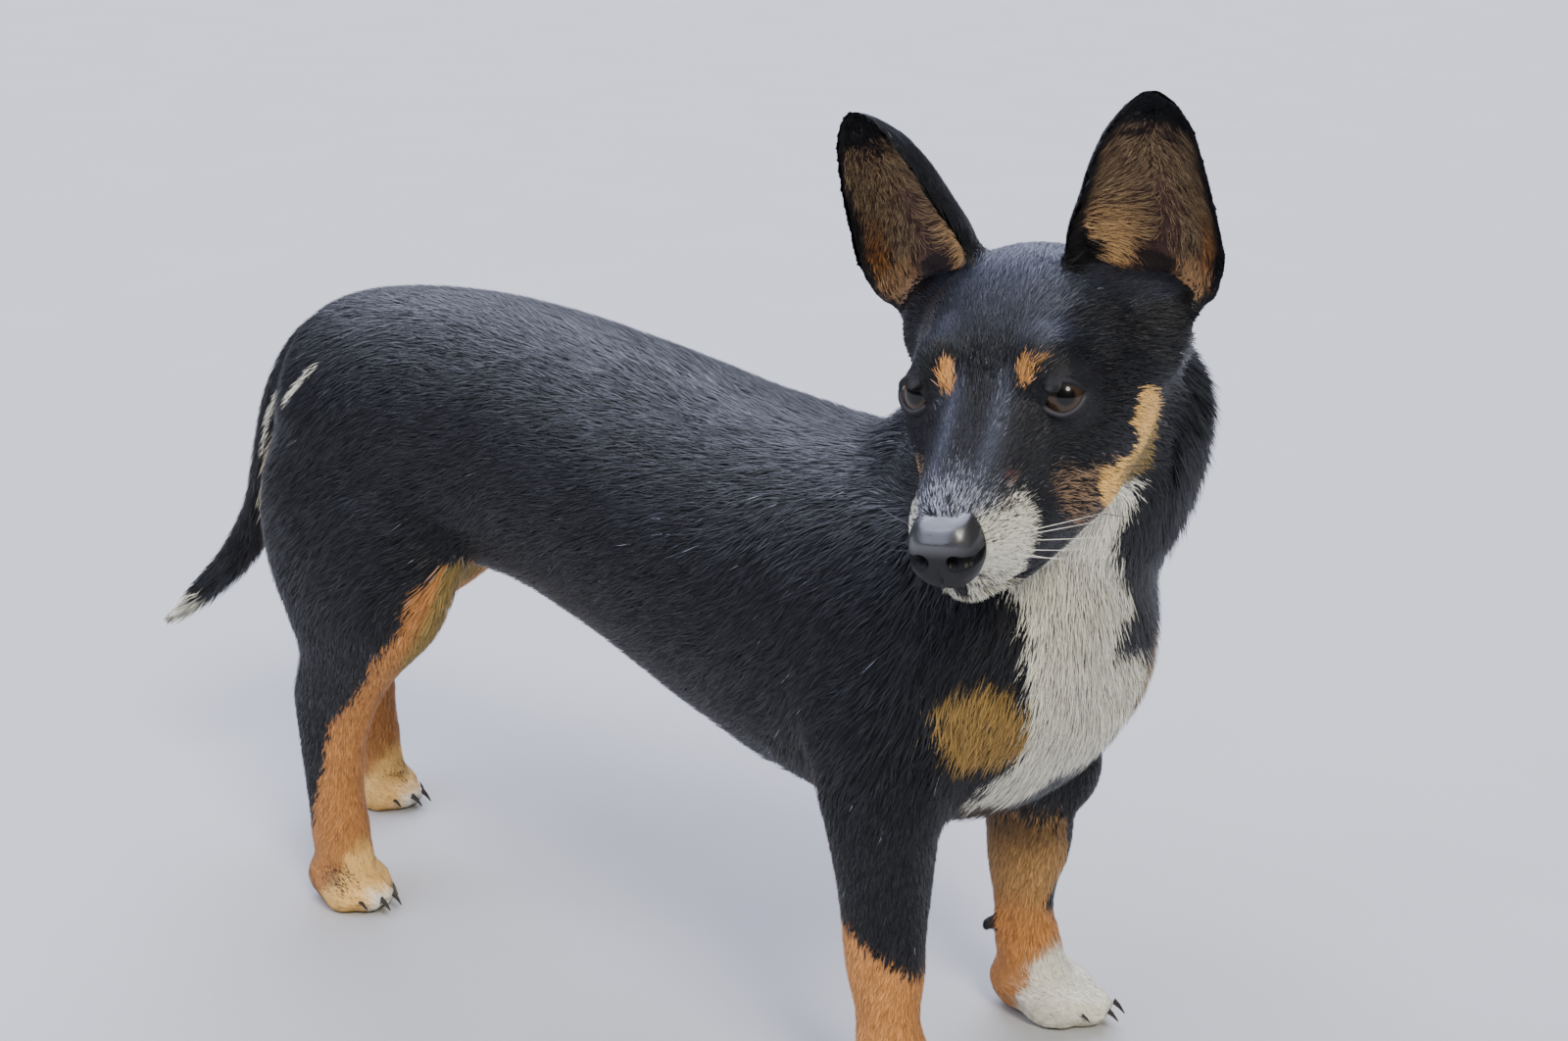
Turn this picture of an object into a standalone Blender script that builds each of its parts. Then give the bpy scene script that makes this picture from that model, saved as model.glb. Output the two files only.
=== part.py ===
"""Still, life-size model of a short-legged, prick-eared dog with a smooth coat, standing and looking to its right.

Metres, +Z up, +X towards the chest, +Y to the dog's left. The floor is z = 0, and the finished model is moved so
that the middle of its outline stands over the origin. Every size is that of the coated outline.
"""

import math

import bmesh
import bpy
from mathutils import Matrix, Vector

# ---------------------------------------------------------------- driving dimensions
GAP = 0.0003  # clearance between pieces that touch
FLESH_VOXEL = 0.0026  # cell of the grid that fuses the lofts into one body
FLESH_SMOOTHING = 9  # passes that round the creases between them
FLESH_TRIANGLES = 4500  # triangles of the fused body before it is parted
RING = 28  # points round a loft
STEPS = 4  # rings between two stations

SPINE_MIDDLE_Y = 0.006  # sideways bulge of the back, because the dog bends to its right
SPINE_TURN = math.radians(-29.0)  # heading change for each metre of back
SPINE_START = math.radians(-0.6)  # heading at x = 0

HEAD_AT = Vector((0.228, -0.083, 0.368))  # midpoint between the eyes
HEAD_YAW, HEAD_PITCH, HEAD_ROLL = math.radians(-81.0), math.radians(17.0), math.radians(7.5)

# Trunk slices: x along the back, height of the back, height of the belly, half width, level of the widest part
TRUNK = (
    (-0.242, 0.300, 0.242, 0.024, 0.266),
    (-0.234, 0.319, 0.224, 0.044, 0.264),
    (-0.216, 0.334, 0.210, 0.062, 0.265),
    (-0.180, 0.342, 0.205, 0.070, 0.270),
    (-0.130, 0.345, 0.202, 0.070, 0.275),
    (-0.080, 0.342, 0.198, 0.070, 0.272),
    (-0.020, 0.333, 0.180, 0.075, 0.262),
    (0.040, 0.322, 0.156, 0.080, 0.250),
    (0.100, 0.317, 0.136, 0.081, 0.240),
    (0.150, 0.319, 0.131, 0.079, 0.235),
    (0.190, 0.320, 0.139, 0.077, 0.232),
    (0.222, 0.316, 0.157, 0.073, 0.232),
    (0.245, 0.296, 0.182, 0.058, 0.232),
    (0.257, 0.268, 0.204, 0.034, 0.230),
)
TRUNK_SQUARENESS = 2.15  # 2 makes a slice an ellipse

# Neck rings: centre, radius across, radius along, heading and lean of the ring in degrees
NECK = (
    ((0.130, 0.010, 0.245), 0.060, 0.062, -5, 40),
    ((0.181, 0.013, 0.280), 0.072, 0.073, -10, 32),
    ((0.209, 0.015, 0.322), 0.0665, 0.066, -24, 20),
    ((0.224, 0.008, 0.360), 0.056, 0.054, -45, 12),
    ((0.226, -0.014, 0.386), 0.040, 0.042, -70, 8),
)

# Head slices in the head's own frame: x, top, bottom, half width, level of the widest part
SKULL = (
    (-0.094, 0.010, -0.022, 0.020, -0.004),
    (-0.086, 0.026, -0.036, 0.035, -0.004),
    (-0.070, 0.037, -0.046, 0.045, -0.004),
    (-0.046, 0.041, -0.050, 0.049, -0.006),
    (-0.024, 0.036, -0.050, 0.047, -0.010),
    (-0.006, 0.026, -0.048, 0.040, -0.014),
    (0.010, 0.012, -0.046, 0.031, -0.020),
    (0.028, 0.002, -0.045, 0.0255, -0.025),
    (0.044, -0.005, -0.045, 0.0235, -0.029),
    (0.057, -0.010, -0.046, 0.0212, -0.031),
    (0.067, -0.018, -0.045, 0.0150, -0.034),
)
JAW = (
    (-0.070, -0.018, -0.056, 0.034, -0.038),
    (-0.052, -0.020, -0.070, 0.039, -0.044),
    (-0.030, -0.028, -0.0765, 0.0380, -0.049),
    (-0.004, -0.032, -0.0775, 0.0335, -0.053),
    (0.018, -0.034, -0.0740, 0.0285, -0.054),
    (0.036, -0.038, -0.0685, 0.0238, -0.053),
    (0.052, -0.040, -0.0620, 0.0180, -0.051),
    (0.064, -0.044, -0.0580, 0.0110, -0.051),
)
NOSE = (
    (0.052, -0.016, -0.036, 0.0100, -0.026),
    (0.058, -0.0130, -0.040, 0.0142, -0.028),
    (0.066, -0.0135, -0.0440, 0.0155, -0.029),
    (0.0735, -0.0165, -0.0445, 0.0140, -0.030),
    (0.0775, -0.0220, -0.0410, 0.0095, -0.031),
)
CHEEK_AT, CHEEK_SIZE = Vector((-0.032, 0.034, -0.022)), Vector((0.036, 0.020, 0.033))
BROW_AT, BROW_SIZE = Vector((-0.008, 0.023, 0.017)), Vector((0.018, 0.012, 0.010))
EAR_ROOT_AT, EAR_ROOT_SIZE = Vector((-0.064, 0.045, -0.004)), Vector((0.024, 0.023, 0.026))

# Eyes in the head's own frame: centre, radius of the ball, of the flesh round it, half sizes of the opening
EYE_AT, EYE_RADIUS, LID_RADIUS = Vector((-0.002, 0.0305, 0.001)), 0.0105, 0.0128
EYE_OPENING = (0.0086, 0.0064)
EYE_OUT, EYE_UP = math.radians(22.0), math.radians(6.0)  # where each eye looks, from straight ahead

# Left ear in the head's own frame: a point of the inner rim, of the outer rim, and the depth of the cup
EAR = (
    ((-0.046, 0.022, 0.028), (-0.064, 0.056, -0.006), 0.020),
    ((-0.043, 0.024, 0.041), (-0.0685, 0.076, 0.008), 0.025),
    ((-0.041, 0.028, 0.054), (-0.0685, 0.0835, 0.025), 0.027),
    ((-0.040, 0.036, 0.068), (-0.0645, 0.0840, 0.045), 0.027),
    ((-0.040, 0.043, 0.083), (-0.0600, 0.0840, 0.067), 0.024),
    ((-0.041, 0.051, 0.096), (-0.0550, 0.0830, 0.090), 0.018),
    ((-0.044, 0.060, 0.106), (-0.0510, 0.0790, 0.104), 0.009),
    ((-0.046, 0.068, 0.1125), (-0.0480, 0.0730, 0.1120), 0.001),
)
EAR_THICKNESS, EAR_RIM = 0.0032, 0.0016
EAR_BACK = Vector((-0.92, -0.38, 0.10))  # from the opening to the bottom of the cup
EAR_HINGE = Vector((-0.055, 0.045, 0.020))  # where each ear leans from, towards the middle of the head
EAR_LEAN = {1: 0.0, -1: math.radians(6.5)}  # for the left and the right ear
EAR_TURN = {1: 0.0, -1: math.radians(-7.0)}  # about an upright line, to open an ear more to the front
EAR_TALLNESS = {1: 1.0, -1: 0.945}

# Tail: points of its middle and the radius there
TAIL = (
    ((-0.205, 0.000, 0.312), 0.017),
    ((-0.240, 0.000, 0.302), 0.0165),
    ((-0.266, 0.000, 0.272), 0.0155),
    ((-0.279, -0.001, 0.236), 0.0145),
    ((-0.289, -0.003, 0.200), 0.0130),
    ((-0.306, -0.008, 0.168), 0.0120),
    ((-0.330, -0.013, 0.142), 0.0100),
    ((-0.350, -0.017, 0.124), 0.0075),
    ((-0.362, -0.020, 0.114), 0.0035),
)

# Leg slices: height, back edge, front edge, inner edge, outer edge, for the right leg of each pair
HIND_LEG = (
    (0.285, -0.215, -0.135, 0.020, 0.062),
    (0.250, -0.236, -0.112, 0.018, 0.074),
    (0.215, -0.240, -0.100, 0.018, 0.077),
    (0.190, -0.235, -0.106, 0.022, 0.076),
    (0.165, -0.222, -0.120, 0.028, 0.073),
    (0.145, -0.214, -0.140, 0.034, 0.069),
    (0.127, -0.219, -0.155, 0.037, 0.066),
    (0.112, -0.221, -0.163, 0.038, 0.065),
    (0.092, -0.216, -0.170, 0.039, 0.066),
    (0.065, -0.211, -0.172, 0.039, 0.067),
    (0.042, -0.208, -0.170, 0.038, 0.068),
    (0.020, -0.204, -0.166, 0.038, 0.068),
)
FORE_LEG = (
    (0.270, 0.120, 0.192, 0.034, 0.070),
    (0.238, 0.116, 0.216, 0.034, 0.082),
    (0.205, 0.122, 0.220, 0.036, 0.090),
    (0.180, 0.134, 0.212, 0.040, 0.093),
    (0.158, 0.142, 0.203, 0.045, 0.093),
    (0.130, 0.150, 0.200, 0.048, 0.090),
    (0.100, 0.155, 0.198, 0.050, 0.088),
    (0.072, 0.158, 0.198, 0.050, 0.087),
    (0.050, 0.162, 0.199, 0.050, 0.086),
    (0.030, 0.166, 0.204, 0.050, 0.087),
    (0.016, 0.168, 0.206, 0.051, 0.087),
)
# Feet: place of the heel, heading in degrees, width, length, height
FEET = {
    "hind_right": ((-0.207, -0.053), -2, 0.042, 0.050, 0.028),
    "hind_left": ((-0.284, 0.050), 4, 0.042, 0.050, 0.028),
    "front_right": ((0.166, -0.069), -14, 0.047, 0.064, 0.032),
    "front_left": ((0.164, 0.066), 6, 0.046, 0.060, 0.032),
}
TOES = ((0.62, -0.36), (0.82, -0.13), (0.82, 0.13), (0.62, 0.36))  # along and across a foot, in its sizes
CLAW_LENGTH, CLAW_RADIUS = 0.0090, 0.0021

# Where the body is parted: outlines of straight bars. The head's bar is in the head's own x and z, the neck's and
# the tail's in x and z, and each leg's in the distance from the middle of the dog and z, with its reach along x.
HEAD_CUT = ((-0.100, 0.062), (-0.056, -0.066), (0.100, -0.066), (0.100, 0.062))
HEAD_CUT_HALF = 0.073
NECK_CUT = ((0.112, 0.340), (0.300, 0.258), (0.420, 0.400), (0.200, 0.540))
TAIL_CUT = ((-0.420, 0.060), (-0.248, 0.060), (-0.248, 0.345), (-0.420, 0.345))
LEG_CUTS = {
    "hind": (((0.004, -0.010), (0.140, -0.010), (0.140, 0.304), (0.086, 0.304), (0.004, 0.172)), -0.340, -0.088),
    "front": (((0.022, -0.010), (0.150, -0.010), (0.150, 0.236), (0.092, 0.236), (0.022, 0.118)), 0.100, 0.262),
}

# ---------------------------------------------------------------- small helpers


def clear_scene():
    for obj in list(bpy.data.objects):
        bpy.data.objects.remove(obj, do_unlink=True)


def collection(name, parent=None):
    made = bpy.data.collections.new(name)
    (parent or bpy.context.scene.collection).children.link(made)
    return made


def material(name, colour, roughness, metallic=0.0):
    made = bpy.data.materials.new(name)
    made.use_nodes = True
    shader = made.node_tree.nodes["Principled BSDF"]
    shader.inputs["Base Color"].default_value = (*colour, 1.0)
    shader.inputs["Roughness"].default_value = roughness
    shader.inputs["Metallic"].default_value = metallic
    made.diffuse_color = (*colour, 1.0)
    return made


def catmull_rom(rows, steps):
    """Rows of numbers with steps - 1 more between each two, on smooth curves through them."""
    made = []
    for i in range(len(rows) - 1):
        before, a, b = rows[max(i - 1, 0)], rows[i], rows[i + 1]
        after = rows[min(i + 2, len(rows) - 1)]
        for k in range(steps):
            t = k / steps
            made.append(
                [
                    0.5
                    * (
                        2 * q
                        + (r - p) * t
                        + (2 * p - 5 * q + 4 * r - s) * t * t
                        + (3 * q - p - 3 * r + s) * t**3
                    )
                    for p, q, r, s in zip(before, a, b, after)
                ]
            )
    made.append(list(rows[-1]))
    return made


def egg(angle, across, up, down, squareness=2.0):
    """A point of an egg-shaped outline: sideways and upwards from its widest level."""
    c, s = math.cos(angle), math.sin(angle)
    power = 2.0 / squareness
    height = up if s > 0 else down
    return (
        across * math.copysign(abs(c) ** power, c),
        height * math.copysign(abs(s) ** power, s),
    )


def loft(bm, rings):
    """A closed skin over rings of as many points each, added to bm."""
    rows = [[bm.verts.new(p) for p in ring] for ring in rings]
    count = len(rows[0])
    for a, b in zip(rows, rows[1:]):
        for i in range(count):
            j = (i + 1) % count
            bm.faces.new((a[i], a[j], b[j], b[i]))
    bm.faces.new(rows[0])
    bm.faces.new(list(reversed(rows[-1])))


def ellipsoid(bm, centre, radii, turn=None, segments=28):
    """A stretched sphere, added to bm."""
    place = Matrix.Translation(centre) @ (turn or Matrix.Identity(4))
    place = place @ Matrix.Diagonal((*radii, 1.0))
    bmesh.ops.create_uvsphere(
        bm, u_segments=segments, v_segments=segments // 2, radius=1.0, matrix=place
    )


def object_from(bm, name, where):
    bmesh.ops.recalc_face_normals(bm, faces=bm.faces[:])
    mesh = bpy.data.meshes.new(name)
    bm.to_mesh(mesh)
    bm.free()
    obj = bpy.data.objects.new(name, mesh)
    where.objects.link(obj)
    return obj


def freeze(obj):
    """Replaces obj's mesh by what its modifiers make of it."""
    bpy.context.view_layer.update()
    graph = bpy.context.evaluated_depsgraph_get()
    mesh = bpy.data.meshes.new_from_object(obj.evaluated_get(graph))
    obj.modifiers.clear()
    old, obj.data = obj.data, mesh
    bpy.data.meshes.remove(old)
    mesh.name = obj.name
    return obj


def spine(x):
    """Sideways place and heading of the back at x."""
    heading = SPINE_START + SPINE_TURN * x
    return SPINE_MIDDLE_Y + SPINE_START * x + SPINE_TURN * x * x / 2, heading


# ---------------------------------------------------------------- parts of the fused body


def add_trunk(bm):
    rings = []
    for x, top, bottom, half, level in catmull_rom(TRUNK, STEPS):
        y, heading = spine(x)
        left = Vector((-math.sin(heading), math.cos(heading), 0))
        centre = Vector((x, y, level))
        ring = []
        for i in range(RING):
            angle = 2 * math.pi * i / RING
            side, rise = egg(angle, half, top - level, level - bottom, TRUNK_SQUARENESS)
            ring.append(centre + left * side + Vector((0, 0, rise)))
        rings.append(ring)
    loft(bm, rings)


def add_neck(bm):
    rows = [(*at, across, along, heading, lean) for at, across, along, heading, lean in NECK]
    rings = []
    for x, y, z, across, along, heading, lean in catmull_rom(rows, STEPS):
        turn = Matrix.Rotation(math.radians(heading), 4, "Z")
        turn = turn @ Matrix.Rotation(math.radians(lean), 4, "Y")
        ring = []
        for i in range(RING):
            angle = 2 * math.pi * i / RING
            point = Vector((along * math.cos(angle), across * math.sin(angle), 0))
            ring.append(Vector((x, y, z)) + turn @ point)
        rings.append(ring)
    loft(bm, rings)


def head_matrix():
    turn = Matrix.Rotation(HEAD_YAW, 4, "Z") @ Matrix.Rotation(HEAD_PITCH, 4, "Y")
    return Matrix.Translation(HEAD_AT) @ turn @ Matrix.Rotation(HEAD_ROLL, 4, "X")


def add_head(bm):
    place = head_matrix()
    for slices, squareness in ((SKULL, 2.2), (JAW, 2.3)):
        rings = []
        for x, top, bottom, half, level in catmull_rom(slices, STEPS):
            ring = []
            for i in range(RING):
                angle = 2 * math.pi * i / RING
                side, rise = egg(angle, half, top - level, level - bottom, squareness)
                ring.append(place @ Vector((x, side, level + rise)))
            rings.append(ring)
        loft(bm, rings)
    for side in (1, -1):
        lid = (EYE_AT, Vector((LID_RADIUS, LID_RADIUS, LID_RADIUS)))
        for at, size in ((CHEEK_AT, CHEEK_SIZE), (BROW_AT, BROW_SIZE), (EAR_ROOT_AT, EAR_ROOT_SIZE), lid):
            centre = place @ Vector((at.x, at.y * side, at.z))
            ellipsoid(bm, centre, size, place.to_3x3().to_4x4())


def add_leg(bm, slices, side, shift_low, shift_high, low, high, spread=0.0):
    """A leg from horizontal slices. Its foot is shifted along x by shift_low, and its top by shift_high."""
    rings = []
    for z, back, front, inner, outer in catmull_rom(slices, STEPS):
        share = min(max((z - low) / (high - low), 0.0), 1.0)
        shift = shift_low + (shift_high - shift_low) * share
        centre = Vector(((back + front) / 2 + shift, side * ((inner + outer) / 2 + spread * (1 - share)), z))
        ring = []
        for i in range(RING):
            angle = 2 * math.pi * i / RING
            x, y = egg(angle, (front - back) / 2, (outer - inner) / 2, (outer - inner) / 2, 2.1)
            ring.append(centre + Vector((x, side * y, 0)))
        rings.append(ring)
    loft(bm, rings)


def add_paw(bm, heel, heading, width, length, height):
    """Four toes and a pad behind them, on the floor, pointing along heading."""
    turn = Matrix.Rotation(math.radians(heading), 4, "Z")
    heel = Vector((*heel, 0))
    for along, across in TOES:
        at = heel + turn @ Vector((along * length, across * width, height * 0.38))
        splay = Matrix.Rotation(-across * 0.5, 4, "Z")
        ellipsoid(bm, at, (length * 0.27, width * 0.16, height * 0.46), turn @ splay)
    at = heel + turn @ Vector((0.36 * length, 0, height * 0.48))
    ellipsoid(bm, at, (length * 0.42, width * 0.45, height * 0.58), turn)


def add_tail(bm):
    rows = catmull_rom([(*at, radius) for at, radius in TAIL], STEPS)
    rings = []
    for k, (x, y, z, radius) in enumerate(rows):
        before, after = rows[max(k - 1, 0)], rows[min(k + 1, len(rows) - 1)]
        along = Vector([b - a for a, b in zip(before[:3], after[:3])]).normalized()
        side = along.cross(Vector((0, 0, 1))).normalized()
        up = side.cross(along)
        ring = []
        for i in range(RING):
            angle = 2 * math.pi * i / RING
            ring.append(Vector((x, y, z)) + (side * math.cos(angle) + up * math.sin(angle)) * radius)
        rings.append(ring)
    loft(bm, rings)


def build_flesh(where):
    """The whole body without ears, eyes, nose and claws, as one closed mesh."""
    bm = bmesh.new()
    add_trunk(bm)
    add_neck(bm)
    add_head(bm)
    add_tail(bm)
    add_leg(bm, HIND_LEG, -1, 0.0, 0.0, 0.1, 0.25)
    add_leg(bm, HIND_LEG, 1, -0.076, -0.018, 0.1, 0.25)
    add_leg(bm, FORE_LEG, -1, 0.0, 0.0, 0.1, 0.25)
    add_leg(bm, FORE_LEG, 1, -0.002, 0.010, 0.1, 0.25)
    for foot in FEET.values():
        add_paw(bm, *foot)
    flesh = object_from(bm, "flesh", where)
    remesh = flesh.modifiers.new("fuse", "REMESH")
    remesh.mode = "VOXEL"
    remesh.voxel_size = FLESH_VOXEL
    smooth = flesh.modifiers.new("round", "SMOOTH")
    smooth.factor = 0.5
    smooth.iterations = FLESH_SMOOTHING
    freeze(flesh)
    plain = flesh.vertex_groups.new(name="plain")
    for vert in flesh.data.vertices:
        near_head = (vert.co - HEAD_AT).length < 0.095
        plain.add([vert.index], 0.992 if near_head else 1.0, "REPLACE")
    reduce = flesh.modifiers.new("reduce", "DECIMATE")
    reduce.ratio = FLESH_TRIANGLES / (2 * len(flesh.data.polygons))
    reduce.vertex_group = "plain"
    reduce.vertex_group_factor = 1.0
    freeze(flesh)
    return flesh


# ---------------------------------------------------------------- separate pieces


def build_nose(where):
    place = head_matrix()
    bm = bmesh.new()
    rings = []
    for x, top, bottom, half, level in catmull_rom(NOSE, 2):
        ring = []
        for i in range(16):
            side, rise = egg(2 * math.pi * i / 16, half, top - level, level - bottom, 2.3)
            ring.append(place @ Vector((x, side, level + rise)))
        rings.append(ring)
    loft(bm, rings)
    return object_from(bm, "nose", where)


def eye_place(side):
    """Centre of an eye and the frame whose x axis is its line of sight."""
    at = Vector((EYE_AT.x, EYE_AT.y * side, EYE_AT.z))
    turn = Matrix.Rotation(EYE_OUT * side, 4, "Z") @ Matrix.Rotation(-EYE_UP, 4, "Y")
    return head_matrix() @ Matrix.Translation(at) @ turn


def build_eye(side, name, where):
    bm = bmesh.new()
    ball = Matrix.Rotation(math.pi / 2, 4, "Y") @ Matrix.Scale(EYE_RADIUS, 4)
    bmesh.ops.create_uvsphere(bm, u_segments=18, v_segments=10, radius=1.0, matrix=eye_place(side) @ ball)
    return object_from(bm, name, where)


def build_eye_cutter(side, name, where):
    """The room of an eye: its ball grown by the gap, and the opening between the lids."""
    bm = bmesh.new()
    ball = Matrix.Rotation(math.pi / 2, 4, "Y") @ Matrix.Scale(EYE_RADIUS + GAP, 4)
    bmesh.ops.create_uvsphere(bm, u_segments=18, v_segments=10, radius=1.0, matrix=eye_place(side) @ ball)
    room = object_from(bm, name + "_room", where)
    bm = bmesh.new()
    place = eye_place(side)
    rings = []
    for x, grow in ((0.004, 0.85), (0.009, 0.95), (0.022, 1.35)):
        ring = []
        for i in range(16):
            angle = 2 * math.pi * i / 16
            y, z = math.cos(angle) * EYE_OPENING[0] * grow, math.sin(angle) * EYE_OPENING[1] * grow
            ring.append(place @ Vector((x, y, z)))
        rings.append(ring)
    loft(bm, rings)
    opening = object_from(bm, name + "_opening", where)
    return room, opening


def build_ear(side, name, where):
    place = head_matrix()
    rows = [(*inner, *outer, depth) for inner, outer, depth in EAR]
    lean = Matrix.Rotation(EAR_LEAN[side], 4, "X")
    turn = Matrix.Rotation(EAR_TURN[side], 4, "Z")
    tall = Matrix.Diagonal((1.0, 1.0, EAR_TALLNESS[side], 1.0))
    bm = bmesh.new()
    rings = []
    points = 9
    for row in rows:
        inner, outer, depth = Vector(row[0:3]), Vector(row[3:6]), row[6]
        middle, half = (inner + outer) / 2, (outer - inner) / 2
        width = half.length
        face = []
        for k in range(points + 1):
            angle = math.pi * k / points
            across = -math.cos(angle)
            bulge = math.sin(angle)
            normal = (half.normalized() * across * depth + EAR_BACK * bulge * width).normalized()
            thick = EAR_RIM + (EAR_THICKNESS - EAR_RIM) * bulge
            face.append((middle + half * across + EAR_BACK * depth * bulge, normal * min(thick, width) / 2))
        ring = [p + n for p, n in face] + [p - n for p, n in reversed(face)]
        ring = [EAR_HINGE + turn @ tall @ lean @ (p - EAR_HINGE) for p in ring]
        rings.append([place @ Vector((p.x, p.y * side, p.z)) for p in ring])
    loft(bm, rings)
    return object_from(bm, name, where)


def build_claw(foot, k, name, where):
    """A short curved claw that leaves the front of toe k of a foot."""
    heel, heading, width, length, height = FEET[foot]
    along, across = TOES[k]
    turn = Matrix.Rotation(math.radians(heading), 4, "Z") @ Matrix.Rotation(-across * 0.5, 4, "Z")
    base = Matrix.Rotation(math.radians(heading), 4, "Z") @ Vector((along * length, across * width, height * 0.36))
    start = Vector((*heel, 0)) + base + turn @ Vector((length * 0.20, 0, 0.001))
    rings = []
    for step in range(4):
        t = step / 3
        at = start + turn @ Vector((CLAW_LENGTH * t, 0, -0.0055 * t * t))
        radius = CLAW_RADIUS * (1 - 0.78 * t * t)
        ring = []
        for i in range(5):
            angle = 2 * math.pi * i / 5
            ring.append(at + turn @ Vector((0, radius * 0.8 * math.cos(angle), radius * math.sin(angle))))
        rings.append(ring)
    bm = bmesh.new()
    loft(bm, rings)
    return object_from(bm, name, where)


# ---------------------------------------------------------------- parting


def prism(name, where, place, outline, low, high):
    """A straight bar along its own y axis, with its outline in its own x and z."""
    bm = bmesh.new()
    ends = [[place @ Vector((x, y, z)) for x, z in outline] for y in (low, high)]
    loft(bm, ends)
    return object_from(bm, name, where)


def cut(obj, cutter, operation):
    step = obj.modifiers.new(cutter.name, "BOOLEAN")
    step.operation = operation
    step.solver = "EXACT"
    step.object = cutter


def grown_copy(obj, distance, name, where):
    """A copy of obj with its surface moved outwards."""
    copy = bpy.data.objects.new(name, obj.data.copy())
    where.objects.link(copy)
    grow = copy.modifiers.new("grow", "DISPLACE")
    grow.strength = distance
    grow.mid_level = 0.0
    return freeze(copy)


def keep_largest(obj):
    """Drops all but the largest closed body of obj, and splits its faces into triangles."""
    bm = bmesh.new()
    bm.from_mesh(obj.data)
    left = set(bm.verts)
    bodies = []
    while left:
        body, front = set(), [left.pop()]
        while front:
            vert = front.pop()
            body.add(vert)
            for edge in vert.link_edges:
                other = edge.other_vert(vert)
                if other in left:
                    left.remove(other)
                    front.append(other)
        bodies.append(body)
    bodies.sort(key=len)
    for body in bodies[:-1]:
        bmesh.ops.delete(bm, geom=list(body), context="VERTS")
    bmesh.ops.triangulate(bm, faces=bm.faces[:])
    bm.to_mesh(obj.data)
    bm.free()
    obj.data.shade_smooth()


def parting_cutters(where):
    """One bar for each part of the body that is cut off the trunk, by the name of the part."""
    made = {"head": prism("head_bar", where, head_matrix(), HEAD_CUT, -HEAD_CUT_HALF, HEAD_CUT_HALF)}
    upright = Matrix.Identity(4)
    made["neck"] = prism("neck_bar", where, upright, NECK_CUT, -0.12, 0.14)
    made["tail"] = prism("tail_bar", where, upright, TAIL_CUT, -0.036, 0.018)
    for side, hand in ((1, "left"), (-1, "right")):
        across = Matrix(((0, 1, 0, 0), (side, 0, 0, 0), (0, 0, 1, 0), (0, 0, 0, 1)))
        for pair, (outline, low, high) in LEG_CUTS.items():
            name = "leg_" + pair + "_" + hand
            made[name] = prism(name + "_bar", where, across, outline, low, high)
    return made


def main():
    clear_scene()
    dog = collection("dog")
    cutters = collection("cutters")
    coat = material("coat", (0.020, 0.020, 0.022), 0.55)
    leather = material("nose_leather", (0.012, 0.012, 0.014), 0.35)
    eyeball = material("eyeball", (0.070, 0.030, 0.012), 0.10)
    horn = material("claw_horn", (0.050, 0.042, 0.038), 0.45)

    flesh = build_flesh(cutters)
    flesh_room = grown_copy(flesh, GAP * 2, "flesh_room", cutters)
    nose = build_nose(dog)
    nose_room = grown_copy(nose, GAP * 1.5, "nose_room", cutters)
    bars = parting_cutters(cutters)
    wide_bars = {name: grown_copy(bar, GAP * 2, name + "_wide", cutters) for name, bar in bars.items()}
    ground = prism("ground", cutters, Matrix.Identity(4), ((-0.6, -0.1), (0.6, -0.1), (0.6, 0), (-0.6, 0)), -0.4, 0.4)

    pieces = [nose]
    for side, name in ((1, "left"), (-1, "right")):
        pieces.append(build_eye(side, "eye_" + name, dog))
        ear = build_ear(side, "ear_" + name, dog)
        cut(ear, flesh_room, "DIFFERENCE")
        pieces.append(ear)
    body = {}
    for name in ("trunk", "neck", "head", "tail", *(n for n in bars if n.startswith("leg"))):
        piece = bpy.data.objects.new(name, flesh.data.copy())
        dog.objects.link(piece)
        body[name] = piece
        if name != "trunk":
            cut(piece, bars[name], "INTERSECT")
    for name, bar in wide_bars.items():
        cut(body["trunk"], bar, "DIFFERENCE")
    cut(body["neck"], wide_bars["head"], "DIFFERENCE")
    cut(body["head"], nose_room, "DIFFERENCE")
    for side, name in ((1, "left"), (-1, "right")):
        for cutter in build_eye_cutter(side, "eye_" + name, cutters):
            cut(body["head"], cutter, "DIFFERENCE")
    claws = []
    for foot in FEET:
        pair, hand = foot.split("_")
        leg = body["leg_" + foot]
        cut(leg, ground, "DIFFERENCE")
        for k in range(len(TOES)):
            claw = build_claw(foot, k, "claw_" + foot + "_" + str(k + 1), dog)
            cut(claw, flesh_room, "DIFFERENCE")
            claws.append(claw)
    for piece in (*pieces, *body.values(), *claws):
        freeze(piece)
        keep_largest(piece)
    for made, finish in (((nose,), leather), (pieces[1::2], eyeball), (claws, horn)):
        for piece in made:
            piece.data.materials.append(finish)
    for piece in (*pieces[2::2], *body.values()):
        piece.data.materials.append(coat)
    for obj in cutters.objects:
        obj.hide_render = True
        obj.display_type = "WIRE"

    corners = [piece.matrix_world @ vert.co for piece in dog.objects for vert in piece.data.vertices]
    low = Vector([min(c[i] for c in corners) for i in range(3)])
    high = Vector([max(c[i] for c in corners) for i in range(3)])
    shift = Matrix.Translation((-(low.x + high.x) / 2, -(low.y + high.y) / 2, -low.z))
    for obj in (*dog.objects, *cutters.objects):
        obj.data.transform(shift)


main()
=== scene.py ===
"""A smooth-coated, short-legged dog with large upright ears, standing with its head turned to its right."""
import itertools
import math

import bmesh
import bpy
import numpy as np
from mathutils import Matrix, Vector
from mathutils.bvhtree import BVHTree


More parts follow.
